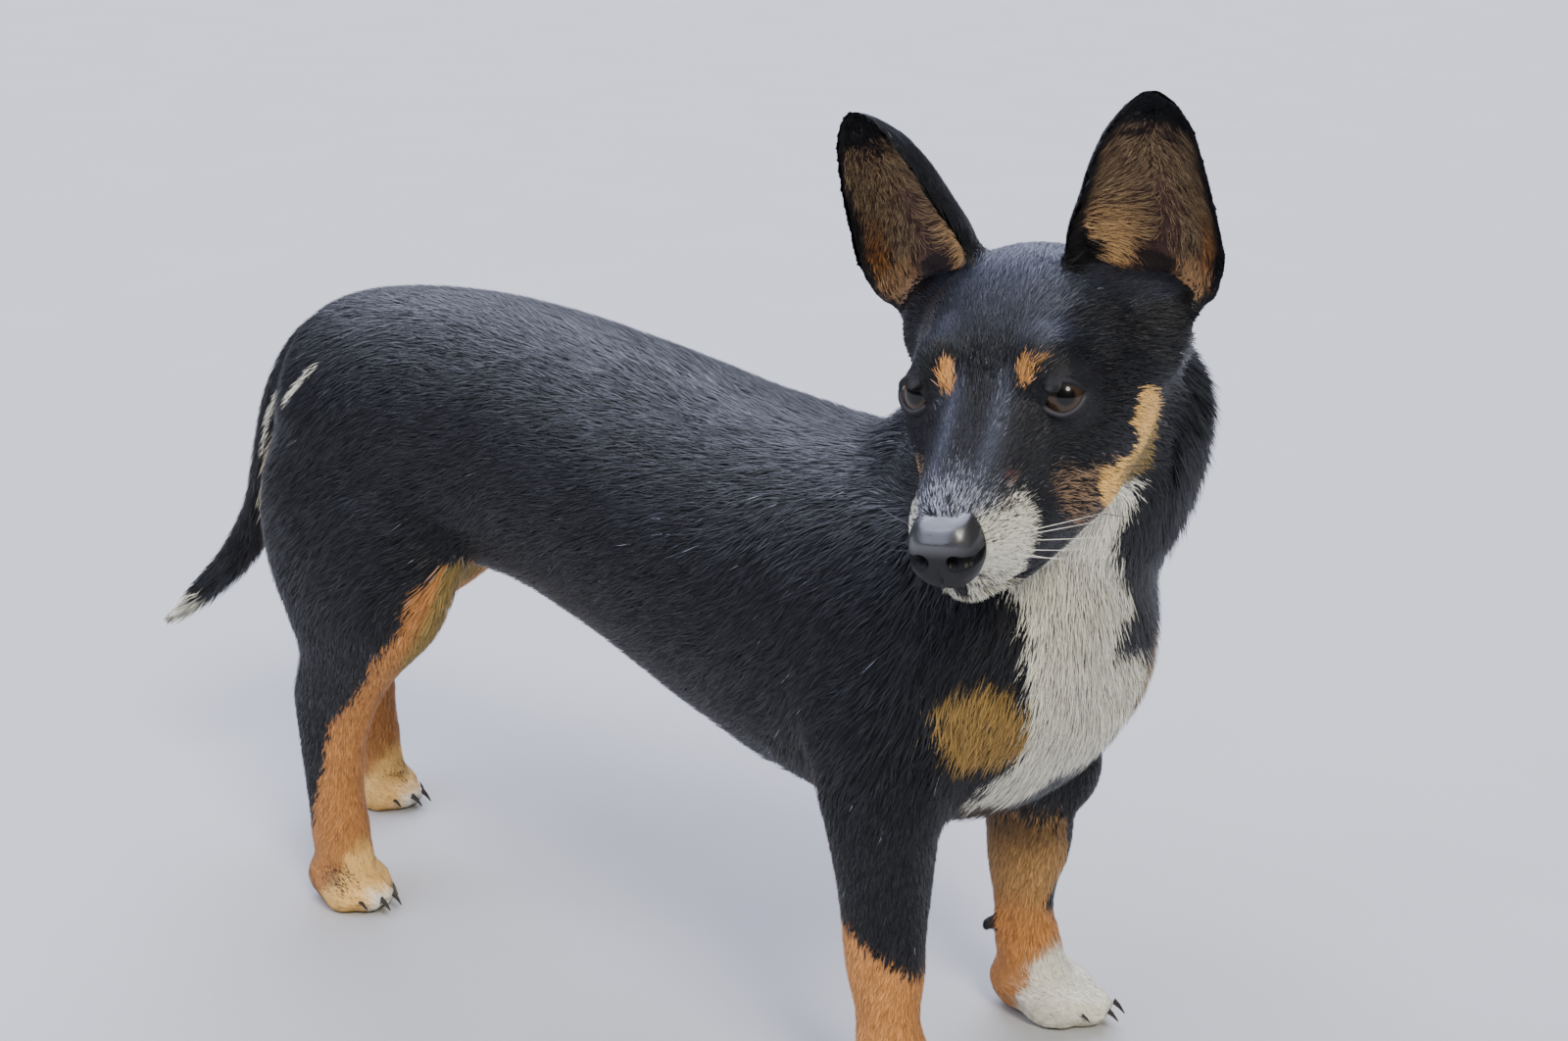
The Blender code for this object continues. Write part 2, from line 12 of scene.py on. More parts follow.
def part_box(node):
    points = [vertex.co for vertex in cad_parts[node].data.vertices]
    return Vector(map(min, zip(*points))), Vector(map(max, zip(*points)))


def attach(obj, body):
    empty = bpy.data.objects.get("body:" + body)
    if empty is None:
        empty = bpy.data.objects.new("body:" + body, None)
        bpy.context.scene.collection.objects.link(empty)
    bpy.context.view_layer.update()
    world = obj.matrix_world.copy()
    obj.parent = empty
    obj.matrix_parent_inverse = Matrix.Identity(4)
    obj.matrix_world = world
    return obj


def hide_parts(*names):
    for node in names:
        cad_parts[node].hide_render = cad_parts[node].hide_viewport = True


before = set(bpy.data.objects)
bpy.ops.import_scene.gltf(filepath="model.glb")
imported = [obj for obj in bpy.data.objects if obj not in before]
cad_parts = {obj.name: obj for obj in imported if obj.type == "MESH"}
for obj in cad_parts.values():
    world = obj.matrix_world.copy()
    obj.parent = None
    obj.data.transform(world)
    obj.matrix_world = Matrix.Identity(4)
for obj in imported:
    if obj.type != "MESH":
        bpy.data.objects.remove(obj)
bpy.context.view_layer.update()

# ---------------------------------------------------------------- sizes, in metres

FLESH = (
    "trunk", "neck", "head", "tail", "leg_front_left", "leg_front_right",
    "leg_hind_left", "leg_hind_right", "ear_left", "ear_right",
)
FEET = {
    "front_right": ((0.1977, -0.0410), -14, 0.047, 0.064),
    "front_left": ((0.1957, 0.0940), 6, 0.046, 0.060),
    "hind_right": ((-0.1753, -0.0250), -2, 0.042, 0.050),
    "hind_left": ((-0.2523, 0.0780), 4, 0.042, 0.050),
}  # heel on the floor, heading in degrees, width, length
WRIST_HEIGHT = 0.058
HEAD_AT = np.array((0.25972, -0.05503, 0.36800))
HEAD_TURN = np.array(
    Matrix.Rotation(math.radians(-81), 3, "Z")
    @ Matrix.Rotation(math.radians(17), 3, "Y")
    @ Matrix.Rotation(math.radians(7.5), 3, "X")
)  # the head's own axes: forwards, to its left, and up
EYE_AT = np.array((-0.0020, 0.0305, 0.0010))  # in the head, on its left
EYE_RADIUS = 0.0105
EYE_OUT, EYE_UP = math.radians(27), math.radians(14)
EYE_SLANT = 0.10  # the outer corner is higher than the inner one
EYE_WIDE, EYE_TALL = 0.0093, 0.0066  # half the opening between the lids

SWELL = 0.0004  # what closes the thin cuts between the solids
EAR_SWELL = 0.0011
SKIN_VOXEL = 0.0015
SKIN_TRIANGLES = 188_000
FAR_OFF = 9.0  # further than anything on the animal


# ---------------------------------------------------------------- small helpers

def unit(vectors):
    return vectors / np.maximum(np.linalg.norm(vectors, axis=-1, keepdims=True), 1e-9)


def ease(low, high, value):
    t = np.clip((value - low) / (high - low), 0, 1)
    return t * t * (3 - 2 * t)


def bell(value, middle, width):
    """1 at the middle, falling softly to 0 on both sides."""
    return np.exp(-(((value - middle) / width) ** 2))


def into_head(points):
    return (points - HEAD_AT) @ HEAD_TURN


def out_of_head(points):
    return np.asarray(points) @ HEAD_TURN.T + HEAD_AT


def drift(points, size, seed):
    """Smooth random values from -1 to 1 that change over about `size` metres."""
    place = points / size + seed * 7.31
    cell = np.floor(place).astype(np.int64)
    part = place - cell
    part = part * part * (3 - 2 * part)
    total = np.zeros(len(points))
    for corner in itertools.product((0, 1), repeat=3):
        corner = np.array(corner)
        weight = np.prod(np.where(corner == 1, part, 1 - part), axis=1)
        x, y, z = (cell + corner).T
        mix = (x * 73856093) ^ (y * 19349663) ^ (z * 83492791) ^ (seed * 2654435)
        mix = ((mix ^ (mix >> 13)) * 1274126177) & 0x7FFFFFFF
        mix = ((mix ^ (mix >> 11)) * 668265263) & 0x7FFFFFFF
        total += weight * (mix & 0xFFFF) / 0xFFFF
    return total * 2 - 1


def ellipsoid(points, centre, radii, edge=0.35):
    """1 inside an ellipsoid, falling to 0 over the last part of its radius."""
    reach = np.linalg.norm((points - np.asarray(centre)) / np.asarray(radii), axis=1)
    return 1 - ease(1 - edge, 1 + edge, reach)


def along_path(points, path):
    """Each point's distance from a line of points, and how far along the line it is, from 0 to 1."""
    path = np.asarray(path, float)
    best = np.full(len(points), FAR_OFF)
    place = np.zeros(len(points))
    lengths = np.linalg.norm(np.diff(path, axis=0), axis=1)
    starts = np.concatenate(([0], np.cumsum(lengths)))
    for k, (a, b) in enumerate(zip(path[:-1], path[1:])):
        side = b - a
        t = np.clip((points - a) @ side / (side @ side), 0, 1)
        away = np.linalg.norm(points - a - t[:, None] * side, axis=1)
        nearer = away < best
        best = np.where(nearer, away, best)
        place = np.where(nearer, (starts[k] + t * lengths[k]) / starts[-1], place)
    return best, place


def blend(base, other, mask):
    """Values that turn from base to other where the mask is 1."""
    return base + (other - base) * np.asarray(mask, float)[:, None]


def ways(x, y, z):
    """A direction for each point, from numbers and columns."""
    return np.stack(np.broadcast_arrays(x, y, z), axis=1)


def all_of(*ramps):
    """1 where every value is past the end of its ramp, as (value, start, end)."""
    mask = 1.0
    for value, start, end in ramps:
        mask = mask * ease(start, end, value)
    return mask


def on_side(values, side):
    """Values of the head's left side, put on its left (1) or right (-1)."""
    return np.asarray(values) * (1, side, 1)


def mesh_arrays(mesh):
    points = np.empty(len(mesh.vertices) * 3)
    mesh.vertices.foreach_get("co", points)
    edges = np.empty(len(mesh.edges) * 2, np.int32)
    mesh.edges.foreach_get("vertices", edges)
    return points.reshape(-1, 3), edges.reshape(-1, 2)


def mesh_normals(mesh):
    normals = np.empty(len(mesh.vertices) * 3, np.float32)
    mesh.vertices.foreach_get("normal", normals)
    return normals.reshape(-1, 3).astype(float)


def place_points(mesh, points):
    mesh.vertices.foreach_set("co", points.astype(np.float32).ravel())
    mesh.update()


def relax(points, edges, rounds, share):
    """Laplacian smoothing, with `share` of the way to the neighbours' middle on each round."""
    count = len(points)
    ends = np.concatenate((edges[:, 0], edges[:, 1]))
    others = np.concatenate((edges[:, 1], edges[:, 0]))
    number = np.maximum(np.bincount(ends, minlength=count), 1)
    share = np.broadcast_to(share, count)
    for _ in range(rounds):
        middle = np.stack([np.bincount(ends, column[others], count) for column in points.T], axis=1)
        points = points + (middle / number[:, None] - points) * share[:, None]
    return points


def object_of(name, mesh):
    made = bpy.data.objects.new(name, mesh)
    bpy.context.scene.collection.objects.link(made)
    return made


def mesh_of(bm, name):
    """Turns a finished bmesh into a mesh."""
    mesh = bpy.data.meshes.new(name)
    bm.to_mesh(mesh)
    bm.free()
    return mesh


def with_modifier(source, kind, settings):
    """The mesh that a modifier makes of an object, as a new mesh."""
    modifier = source.modifiers.new("made", kind)
    for key, value in settings.items():
        setattr(modifier, key, value)
    graph = bpy.context.evaluated_depsgraph_get()
    mesh = bpy.data.meshes.new_from_object(source.evaluated_get(graph))
    source.modifiers.remove(modifier)
    return mesh


# ---------------------------------------------------------------- camera

CAMERA_AT = (0.71857, -0.88853, 0.62993)
CAMERA_TURN = (0.59265, 0.32258, 0.01902)  # yaw to the left, pitch down and roll, in radians
FOCAL_LENGTH = 54.684  # in millimetres, for a sensor 36 mm wide


def set_camera():
    yaw, pitch, roll = CAMERA_TURN
    ahead = Vector((math.sin(-yaw) * math.cos(pitch), math.cos(yaw) * math.cos(pitch), -math.sin(pitch)))
    right = Vector((math.cos(yaw), math.sin(yaw), 0))
    up = right.cross(ahead)
    right, up = right * math.cos(roll) + up * math.sin(roll), up * math.cos(roll) - right * math.sin(roll)
    lens = bpy.data.cameras.new("camera")
    lens.lens, lens.sensor_width = FOCAL_LENGTH, 36.0
    lens.clip_start, lens.clip_end = 0.01, 20.0
    camera = object_of("camera", lens)
    camera.matrix_world = Matrix((right, up, -ahead)).transposed().to_4x4()
    camera.location = CAMERA_AT
    bpy.context.scene.camera = camera


# ---------------------------------------------------------------- the skin

# centre and radii of round forms that melt into the body
BODY_LUMPS = (
    ((0.2250, 0.1045, 0.1380), (0.0190, 0.0180, 0.0290)),
    ((0.2140, 0.0975, 0.1020), (0.0195, 0.0185, 0.0420)),
    ((0.1970, 0.0755, 0.0500), (0.0058, 0.0050, 0.0066)),
)
# the same, in the head; both sides get each row
HEAD_LUMPS = (
    ((0.002, 0.0300, 0.0120), (0.014, 0.0070, 0.0040)),
    ((-0.030, 0.0440, -0.010), (0.026, 0.0085, 0.0070)),
    ((-0.014, 0.0330, -0.0440), (0.030, 0.0120, 0.0180)),
    ((0.012, 0.0220, -0.0400), (0.030, 0.0095, 0.0170)),
    ((0.036, 0.0165, -0.0400), (0.024, 0.0085, 0.0150)),
    ((-0.010, 0.0270, -0.0180), (0.022, 0.0140, 0.0120)),
)


def add_lump(bm, centre, radii, turn=None):
    """A smooth round form that melts into the body."""
    place = Matrix.Translation(centre) @ (turn or Matrix.Identity(3)).to_4x4() @ Matrix.Diagonal((*radii, 1))
    bmesh.ops.create_icosphere(bm, subdivisions=3, radius=1.0, matrix=place)


def body_shell():
    """All the flesh, eyes and nose leather as one closed mesh."""
    bm = bmesh.new()
    for name in FLESH + ("eye_left", "eye_right", "nose"):
        part = bmesh.new()
        part.from_mesh(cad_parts[name].data)
        bmesh.ops.remove_doubles(part, verts=part.verts, dist=1e-5)
        part.normal_update()
        swell = EAR_SWELL if name.startswith("ear") else SWELL
        for vertex in part.verts:
            vertex.co += vertex.normal * swell
        copy = mesh_of(part, "part")
        bm.from_mesh(copy)
        bpy.data.meshes.remove(copy)
    turn = Matrix(HEAD_TURN.tolist())
    for side in (1, -1):
        for centre, radii in HEAD_LUMPS:
            add_lump(bm, Vector(out_of_head(on_side(centre, side))), radii, turn)
    for foot in FEET:
        add_toes(bm, foot)
    for centre, radii in BODY_LUMPS:
        add_lump(bm, Vector(centre), radii)
    shell = object_of("shell", mesh_of(bm, "shell"))
    fused = with_modifier(shell, "REMESH", {"mode": "VOXEL", "voxel_size": SKIN_VOXEL, "adaptivity": 0})
    bpy.data.objects.remove(shell)
    return fused


def add_toes(bm, foot):
    """Four toes with two joints each, the middle pair further forwards."""
    heel, heading, width, length = FEET[foot]
    turn = Matrix.Rotation(math.radians(heading), 3, "Z")
    size = width * 0.128
    for along, across in ((0.60, -0.36), (0.79, -0.13), (0.79, 0.13), (0.60, 0.36)):
        splay = turn @ Matrix.Rotation(-across * 0.5, 3, "Z")
        base = Vector((*heel, 0)) + turn @ Vector((along * length, across * width, 0))
        ahead = splay @ Vector((length, 0, 0))
        tip, knuckle = base + ahead * 0.06, base - ahead * 0.14
        add_lump(bm, tip + Vector((0, 0, size * 1.35)), (size * 1.75, size, size * 1.3), splay)
        add_lump(bm, knuckle + Vector((0, 0, size * 2.5)), (size * 1.7, size * 0.95, size * 1.1), splay)


def nearest_parts(points):
    """For each point, the flesh node that it is nearest to, as a place in FLESH."""
    best = np.full(len(points), FAR_OFF)
    label = np.zeros(len(points), int)
    for k, name in enumerate(FLESH):
        low, high = (np.array(corner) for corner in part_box(name))
        gap = np.linalg.norm(np.maximum(np.maximum(low - points, points - high), 0), axis=1)
        bm = bmesh.new()
        bm.from_mesh(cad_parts[name].data)
        tree = BVHTree.FromBMesh(bm)
        bm.free()
        for i in np.nonzero(gap < 0.006)[0]:
            away = tree.find_nearest(points[i], 0.012)[3]
            if away is not None and away < best[i]:
                best[i] = away
                label[i] = k
    return label


def in_parts(label, *names):
    return np.isin(label, [FLESH.index(name) for name in names])


def eye_axes(side):
    """The way an eye looks, the way from its inner to its outer corner, and up, in the head."""
    level = math.cos(EYE_UP)
    gaze = np.array((math.cos(EYE_OUT) * level, side * math.sin(EYE_OUT) * level, math.sin(EYE_UP)))
    across = np.array((-math.sin(EYE_OUT), side * math.cos(EYE_OUT), EYE_SLANT))
    across = unit(across - gaze * (across @ gaze))
    up = unit(np.cross(gaze, across)) * side
    return gaze, across, up


def lid_line(local, side):
    """How far points are outside the opening between the lids, and their distance from the eyeball's
    middle and places across and up, all measured on the eyeball."""
    offset = local - on_side(EYE_AT, side)
    reach = np.linalg.norm(offset, axis=1)
    gaze, across, up = eye_axes(side)
    ahead = offset @ gaze
    wide = np.arctan2(offset @ across, ahead) * EYE_RADIUS
    tall = np.arctan2(offset @ up, ahead) * EYE_RADIUS
    part = np.clip(np.abs(wide) / EYE_WIDE, 0, 1)
    lean = 1.0 - 0.08 * ease(-0.003, 0.004, wide)
    arch = np.where(tall > 0, EYE_TALL * 1.03, EYE_TALL * 0.78) * lean * (1 - part ** 2.3) ** 0.75
    inside = (np.abs(tall) - arch) * (0.55 + 0.45 * (1 - part))
    beyond = np.hypot(np.maximum(np.abs(wide) - EYE_WIDE, 0), tall)
    away = np.where(np.abs(wide) > EYE_WIDE, beyond, inside)
    away = np.where(ahead < 0.001, 0.03, np.maximum(away, reach - 0.0145))
    return away, reach, wide, tall


def shape_lids(local):
    """Lids that hug the eyeball: a round rim, a shallow fold, then the face."""
    for side in (1, -1):
        away, reach, _, tall = lid_line(local, side)
        near = (reach < 0.024) & (away < 0.0085)
        centre = on_side(EYE_AT, side)
        ball = EYE_RADIUS
        rim = np.where(away < 0, ball - 0.0016 + 0.0018 * ease(-0.0010, 0, away), ball + 0.0002)
        rim = rim + 0.0015 * ease(0.0, 0.0011, away)
        fold = 0.0005 * np.exp(-((away - 0.0034) / 0.0009) ** 2) * np.where(tall > 0, 1.4, 0.7)
        outside = np.maximum(reach, ball + 0.0017) - fold
        mix = ease(0.0012, 0.0085, away)
        wanted = rim * (1 - mix) + outside * mix
        wanted = np.where(near, wanted, reach)
        local = centre + (local - centre) * (wanted / np.maximum(reach, 1e-6))[:, None]
    return local


def pressed(local, normals, path, width, depth):
    """Pushes a soft line into the face along a path, on both sides."""
    for side in (1, -1):
        away, place = along_path(on_side(local, side), path)
        taper = ease(0, 0.12, place) * (1 - ease(0.88, 1, place)) if len(path) > 2 else 1.0
        local = local - normals * (depth * taper * np.exp(-((away / width) ** 2)))[:, None]
    return local


def swollen(local, normals, centre, radii, amount):
    """Raises (or with a negative amount sinks) a soft patch of the face, on both sides."""
    for side in (1, -1):
        reach = np.linalg.norm((on_side(local, side) - centre) / radii, axis=1)
        local = local + normals * (amount * np.exp(-(reach ** 2) * 1.6))[:, None]
    return local


LIP = (
    (0.0680, 0.0020, -0.0505), (0.0640, 0.0085, -0.0515), (0.0560, 0.0150, -0.0540),
    (0.0450, 0.0195, -0.0575), (0.0320, 0.0235, -0.0610), (0.0180, 0.0275, -0.0640),
    (0.0040, 0.0315, -0.0645), (-0.0080, 0.0345, -0.0610),
)
LOWER_LIP = [(x, y * 0.96, z - 0.0030) for x, y, z in LIP]
UPPER_LIP = [(x, y, z + 0.0035) for x, y, z in LIP]
EYE_CORNER_FOLD = (
    (0.0150, 0.0225, -0.0030), (0.0200, 0.0215, -0.0070), (0.030, 0.0215, -0.0125), (0.044, 0.0195, -0.0185),
)
UNDER_NOSE = (0.0750, 0.0, -0.0440), (0.0715, 0.0, -0.0480), (0.0685, 0.0, -0.0515)
SWELLINGS = (
    ((0.050, 0.0175, -0.034), (0.017, 0.012, 0.013), 0.0016),  # upper lip
    ((0.030, 0.0225, -0.045), (0.018, 0.012, 0.012), 0.0012),  # upper lip's rear
    ((0.034, 0.0235, -0.020), (0.016, 0.008, 0.007), -0.0012),  # hollow beside the bridge
    ((0.018, 0.0000, 0.004), (0.018, 0.0060, 0.012), -0.0005),  # stop
    ((-0.016, 0.0000, 0.036), (0.030, 0.0070, 0.012), -0.0004),  # furrow of the forehead
    ((-0.026, 0.0370, 0.020), (0.016, 0.012, 0.012), -0.0016),  # temple
    ((0.012, 0.0330, -0.016), (0.012, 0.008, 0.006), -0.0008),  # under the eye
    ((0.056, 0.0000, -0.060), (0.010, 0.010, 0.006), 0.0008),  # chin
)  # place, size and height of soft swellings and hollows
CREASES = (
    (LIP, 0.0013, 0.0026), (LOWER_LIP, 0.0026, 0.0010), (UPPER_LIP, 0.0024, -0.0007),
    (EYE_CORNER_FOLD, 0.0024, 0.0008), (UNDER_NOSE, 0.0009, 0.0014),
)  # path, width and depth


def shape_face(local, normals):
    """The folds and swellings that make the face, in the head's own axes."""
    for centre, radii, amount in SWELLINGS:
        local = swollen(local, normals, centre, radii, amount)
    for path, width, depth in CREASES:
        local = pressed(local, normals, path, width, depth)
    return local


def soothe_lids(points, edges):
    """Evens out the face just round the lids, which the lids' own shape has stretched."""
    local = into_head(points)
    share = np.zeros(len(points))
    for side in (1, -1):
        away, reach = lid_line(local, side)[:2]
        share = np.maximum(share, 0.5 * ease(0.0016, 0.0034, away) * (reach < 0.026))
    return relax(points, edges, 10, share)


def refine(mesh, centres, radius):
    """Splits the faces near some points once."""
    bm = bmesh.new()
    bm.from_mesh(mesh)
    points = np.array([v.co for v in bm.verts])
    near = np.zeros(len(points), bool)
    for centre in centres:
        near |= np.linalg.norm(points - centre, axis=1) < radius
    edges = [e for e in bm.edges if near[e.verts[0].index] and near[e.verts[1].index]]
    bmesh.ops.subdivide_edges(bm, edges=edges, cuts=1, use_grid_fill=True)
    bmesh.ops.triangulate(bm, faces=[f for f in bm.faces if len(f.verts) > 3])
    bm.to_mesh(mesh)
    bm.free()


def shape_feet(points):
    """Toes that get lower towards their tips, and slimmer wrists."""
    points = points.copy()
    for foot, (heel, heading, width, length) in FEET.items():
        turn = math.radians(heading)
        ahead = np.array((math.cos(turn), math.sin(turn)))
        offset = points[:, :2] - np.array(heel)
        along = offset @ ahead / length
        across = offset @ np.array((-ahead[1], ahead[0]))
        near = (np.abs(across) < width * 0.8) & (along > 0) & (along < 1.3) & (points[:, 2] < 0.045)
        points[near, 2] *= 1 - 0.30 * ease(0.30, 0.95, along[near])
        if foot.startswith("front"):
            wrist = bell(points[:, 2], WRIST_HEIGHT, 0.016) * (np.linalg.norm(offset, axis=1) < 0.045)
            chosen = wrist > 0.5
            middle = points[chosen, :2].mean(axis=0)
            points[:, :2] += (middle - points[:, :2]) * (wrist * 0.13)[:, None]
    return points


def build_outline():
    """The whole animal to the tips of its coat, with its face, before the coat's depth is taken off."""
    mesh = body_shell()
    points, edges = mesh_arrays(mesh)
    local = into_head(points)
    side = np.abs(local[:, 1])
    height = local[:, 2] + side * 0.35  # the ears' roots are lower further out
    face = ease(-0.10, -0.075, local[:, 0]) * (1 - ease(0.09, 0.11, side)) * (local[:, 2] > -0.085)
    ear = face * ease(0.026, 0.036, height)
    low = 1 - ease(0.035, 0.055, points[:, 2])
    share = np.full(len(points), 0.5)
    points = relax(points, edges, 6, share)
    points = relax(points, edges, 34, share * (1 - face) * (1 - low))
    cheek = np.zeros(len(points))
    for side in (1, -1):
        left = on_side(local, side)
        cheek += ellipsoid(left, (-0.004, 0.034, -0.040), (0.062, 0.022, 0.034), 0.3)
        cheek += ellipsoid(left, (-0.066, 0.044, -0.002), (0.036, 0.034, 0.036), 0.4)
        cheek -= ellipsoid(left, EYE_AT, (0.020, 0.018, 0.016), 0.4)
    cheek = np.clip(cheek, 0, 1)
    points = relax(points, edges, 10, share * (1 - low) * face)
    points = relax(points, edges, 60, share * cheek * (1 - 0.6 * ear))
    place_points(mesh, points)
    thin = ear * ease(0.035, 0.055, height)
    points = points - mesh_normals(mesh) * (EAR_SWELL - 0.0003) * thin[:, None]
    points = shape_feet(points)
    place_points(mesh, points)
    lids = [out_of_head(on_side(EYE_AT + (0.006, 0.002, 0), side)) for side in (1, -1)]
    for radius in (0.0165, 0.0140):
        refine(mesh, lids, radius)
    refine(mesh, [out_of_head(on_side(place, side)) for place in LIP[1:-1] for side in (1, -1)], 0.0085)
    points, edges = mesh_arrays(mesh)
    points = relax(points, edges, 3, np.where(np.linalg.norm(points - HEAD_AT, axis=1) < 0.09, 0.4, 0.0))
    place_points(mesh, points)
    local = into_head(points)
    head = np.linalg.norm(local + (0, 0, 0.010), axis=1) < 0.105
    local = shape_lids(shape_face(local, mesh_normals(mesh) @ HEAD_TURN))
    points = np.where(head[:, None], out_of_head(local), points)
    place_points(mesh, soothe_lids(points, edges))
    return mesh


def thin_out(mesh, kept):
    """A copy with fewer faces where the body is smooth and of one colour; where `kept` is 1 it keeps them."""
    shell = object_of("dense_skin", mesh.copy())
    group = shell.vertex_groups.new(name="plain")
    for step in range(1, 11):
        chosen = np.nonzero(np.round((1 - kept) * 10) == step)[0]
        group.add(chosen.tolist(), step / 10, "REPLACE")
    thin = with_modifier(shell, "DECIMATE", {
        "ratio": SKIN_TRIANGLES / len(mesh.polygons), "vertex_group": "plain", "vertex_group_factor": 0.5,
    })
    bpy.data.objects.remove(shell)
    return thin


# ---------------------------------------------------------------- where things are on the animal

EAR_ROWS = (
    ((-0.046, 0.022, 0.028), (-0.064, 0.056, -0.006), 0.020),
    ((-0.043, 0.024, 0.041), (-0.0685, 0.076, 0.008), 0.025),
    ((-0.041, 0.028, 0.054), (-0.0685, 0.0835, 0.025), 0.027),
    ((-0.040, 0.036, 0.068), (-0.0645, 0.0840, 0.045), 0.027),
    ((-0.040, 0.043, 0.083), (-0.0600, 0.0840, 0.067), 0.024),
    ((-0.041, 0.051, 0.096), (-0.0550, 0.0830, 0.090), 0.018),
    ((-0.044, 0.060, 0.106), (-0.0510, 0.0790, 0.104), 0.009),
    ((-0.046, 0.068, 0.1125), (-0.0480, 0.0730, 0.1120), 0.001),
)  # inner rim, outer rim and depth of the left ear's cup, in the head
EAR_BACK = np.array((-0.92, -0.38, 0.10))
EAR_HINGE = np.array((-0.055, 0.045, 0.020))
EAR_STANCE = {1: (0.0, 0.0, 1.0), -1: (6.5, -7.0, 0.945)}  # lean and turn in degrees, and tallness
EAR_COLUMNS = 13
EAR_COLUMN_WIDTH = 0.006

TAIL_PATH = (
    (-0.173, 0.028, 0.312), (-0.208, 0.028, 0.302), (-0.234, 0.028, 0.272), (-0.247, 0.027, 0.236),
    (-0.257, 0.025, 0.200), (-0.274, 0.020, 0.168), (-0.298, 0.015, 0.142), (-0.318, 0.011, 0.124),
    (-0.330, 0.008, 0.114),
)


def ear_grid(side, steps=14):
    """Points of an ear's middle surface in the head, with their places across and up the ear."""
    lean, turn, tall = EAR_STANCE[side]
    stance = np.array(
        Matrix.Rotation(math.radians(turn), 3, "Z")
        @ Matrix.Diagonal((1.0, 1.0, tall))
        @ Matrix.Rotation(math.radians(lean), 3, "X")
    )
    rows = np.array([(*inner, *outer, depth) for inner, outer, depth in EAR_ROWS])
    places = np.linspace(0, len(rows) - 1, (len(rows) - 1) * steps // 7 + 1)
    rows = np.stack([np.interp(places, np.arange(len(rows)), rows[:, k]) for k in range(7)], axis=1)
    points, across, up = [], [], []
    for k, row in enumerate(rows):
        middle, half = (row[:3] + row[3:6]) / 2, (row[3:6] - row[:3]) / 2
        for j in range(EAR_COLUMNS):
            angle = math.pi * j / (EAR_COLUMNS - 1)
            points.append(middle - half * math.cos(angle) + EAR_BACK * row[6] * math.sin(angle))
            across.append(j / (EAR_COLUMNS - 1))
            up.append(k / (len(rows) - 1))
    points = EAR_HINGE + (np.array(points) - EAR_HINGE) @ stance.T
    return on_side(points, side), np.array(across), np.array(up)


def ear_places(local, chosen, side):
    """Across (0 inner rim, 1 outer rim) and up (0 root, 1 tip) for points of an ear, and those directions."""
    grid, across, up = ear_grid(side)
    shape = grid.reshape(-1, EAR_COLUMNS, 3)
    along_across = unit(np.gradient(shape, axis=1)).reshape(-1, 3)
    along_up = unit(np.gradient(shape, axis=0)).reshape(-1, 3)
    found = local[chosen]
    near = np.empty(len(found), int)
    for start in range(0, len(found), 4000):
        gap = found[start:start + 4000, None, :] - grid[None]
        near[start:start + 4000] = np.argmin((gap ** 2).sum(axis=2), axis=1)
    offset = found - grid[near]
    beside = np.clip((offset * along_across[near]).sum(axis=1) / EAR_COLUMN_WIDTH, -0.5, 0.5)
    fine = across[near] + beside / (EAR_COLUMNS - 1)
    return fine, up[near], along_across[near], along_up[near]


def within(u, v, outline, soft):
    """1 inside a flat outline, 0 outside it, with a soft edge; the outline is in millimetres."""
    outline = np.asarray(outline, float) / 1000
    spot = np.stack((u, v), axis=1)
    away = along_path(spot, np.concatenate((outline, outline[:1])))[0]
    inside = np.zeros(len(spot), bool)
    for (ax, ay), (bx, by) in zip(outline, np.roll(outline, -1, axis=0)):
        if ay == by:
            continue
        crosses = (ay > v) != (by > v)
        inside ^= crosses & (u < (bx - ax) * (v - ay) / (by - ay) + ax)
    return ease(-soft, soft, np.where(inside, away, -away))


# ---------------------------------------------------------------- colours of the coat

def shade(red, green, blue):
    """A colour as light, from its 0 to 255 values."""
    values = np.array((red, green, blue)) / 255
    return np.where(values <= 0.04045, values / 12.92, ((values + 0.055) / 1.055) ** 2.4)


BLACK = shade(13, 13, 16)
SOOT = shade(14, 13, 14)
GREY_HAIR = shade(150, 152, 162)
WHITE = shade(248, 243, 220)
CREAM = shade(226, 214, 184)
CHEEK_TAN = shade(246, 194, 112)
# painted shade: a darker olive tan that stands for tan hair in shade
TAN_IN_PAINTED_SHADE = shade(140, 116, 62)
PIP_TAN = shade(228, 160, 88)
LEG_TAN = shade(208, 140, 76)
CHEST_TAN = shade(160, 126, 66)
BROWN = shade(142, 114, 88)
EAR_HAIR = shade(190, 160, 118)
EAR_SKIN = shade(92, 62, 52)
LID_SKIN = shade(24, 21, 23)
# painted highlight: a pale line for the wet rim of the lower lid
LID_RIM_PAINTED_GLINT = shade(168, 160, 168)
SPOT_BROWN = shade(110, 70, 58)
DULL_TAN = shade(150, 108, 62)
LOBE_TAN = shade(232, 178, 122)
# painted sheen: bluish greys taken by the dark hair of the bridge and of the crown
BRIDGE_SHEEN = shade(60, 64, 76)
CROWN_SHEEN = shade(48, 52, 64)
PALER_FORELEG = np.array((0.76, 1.0, 1.25))  # what the upper part of the far foreleg's tan is multiplied by

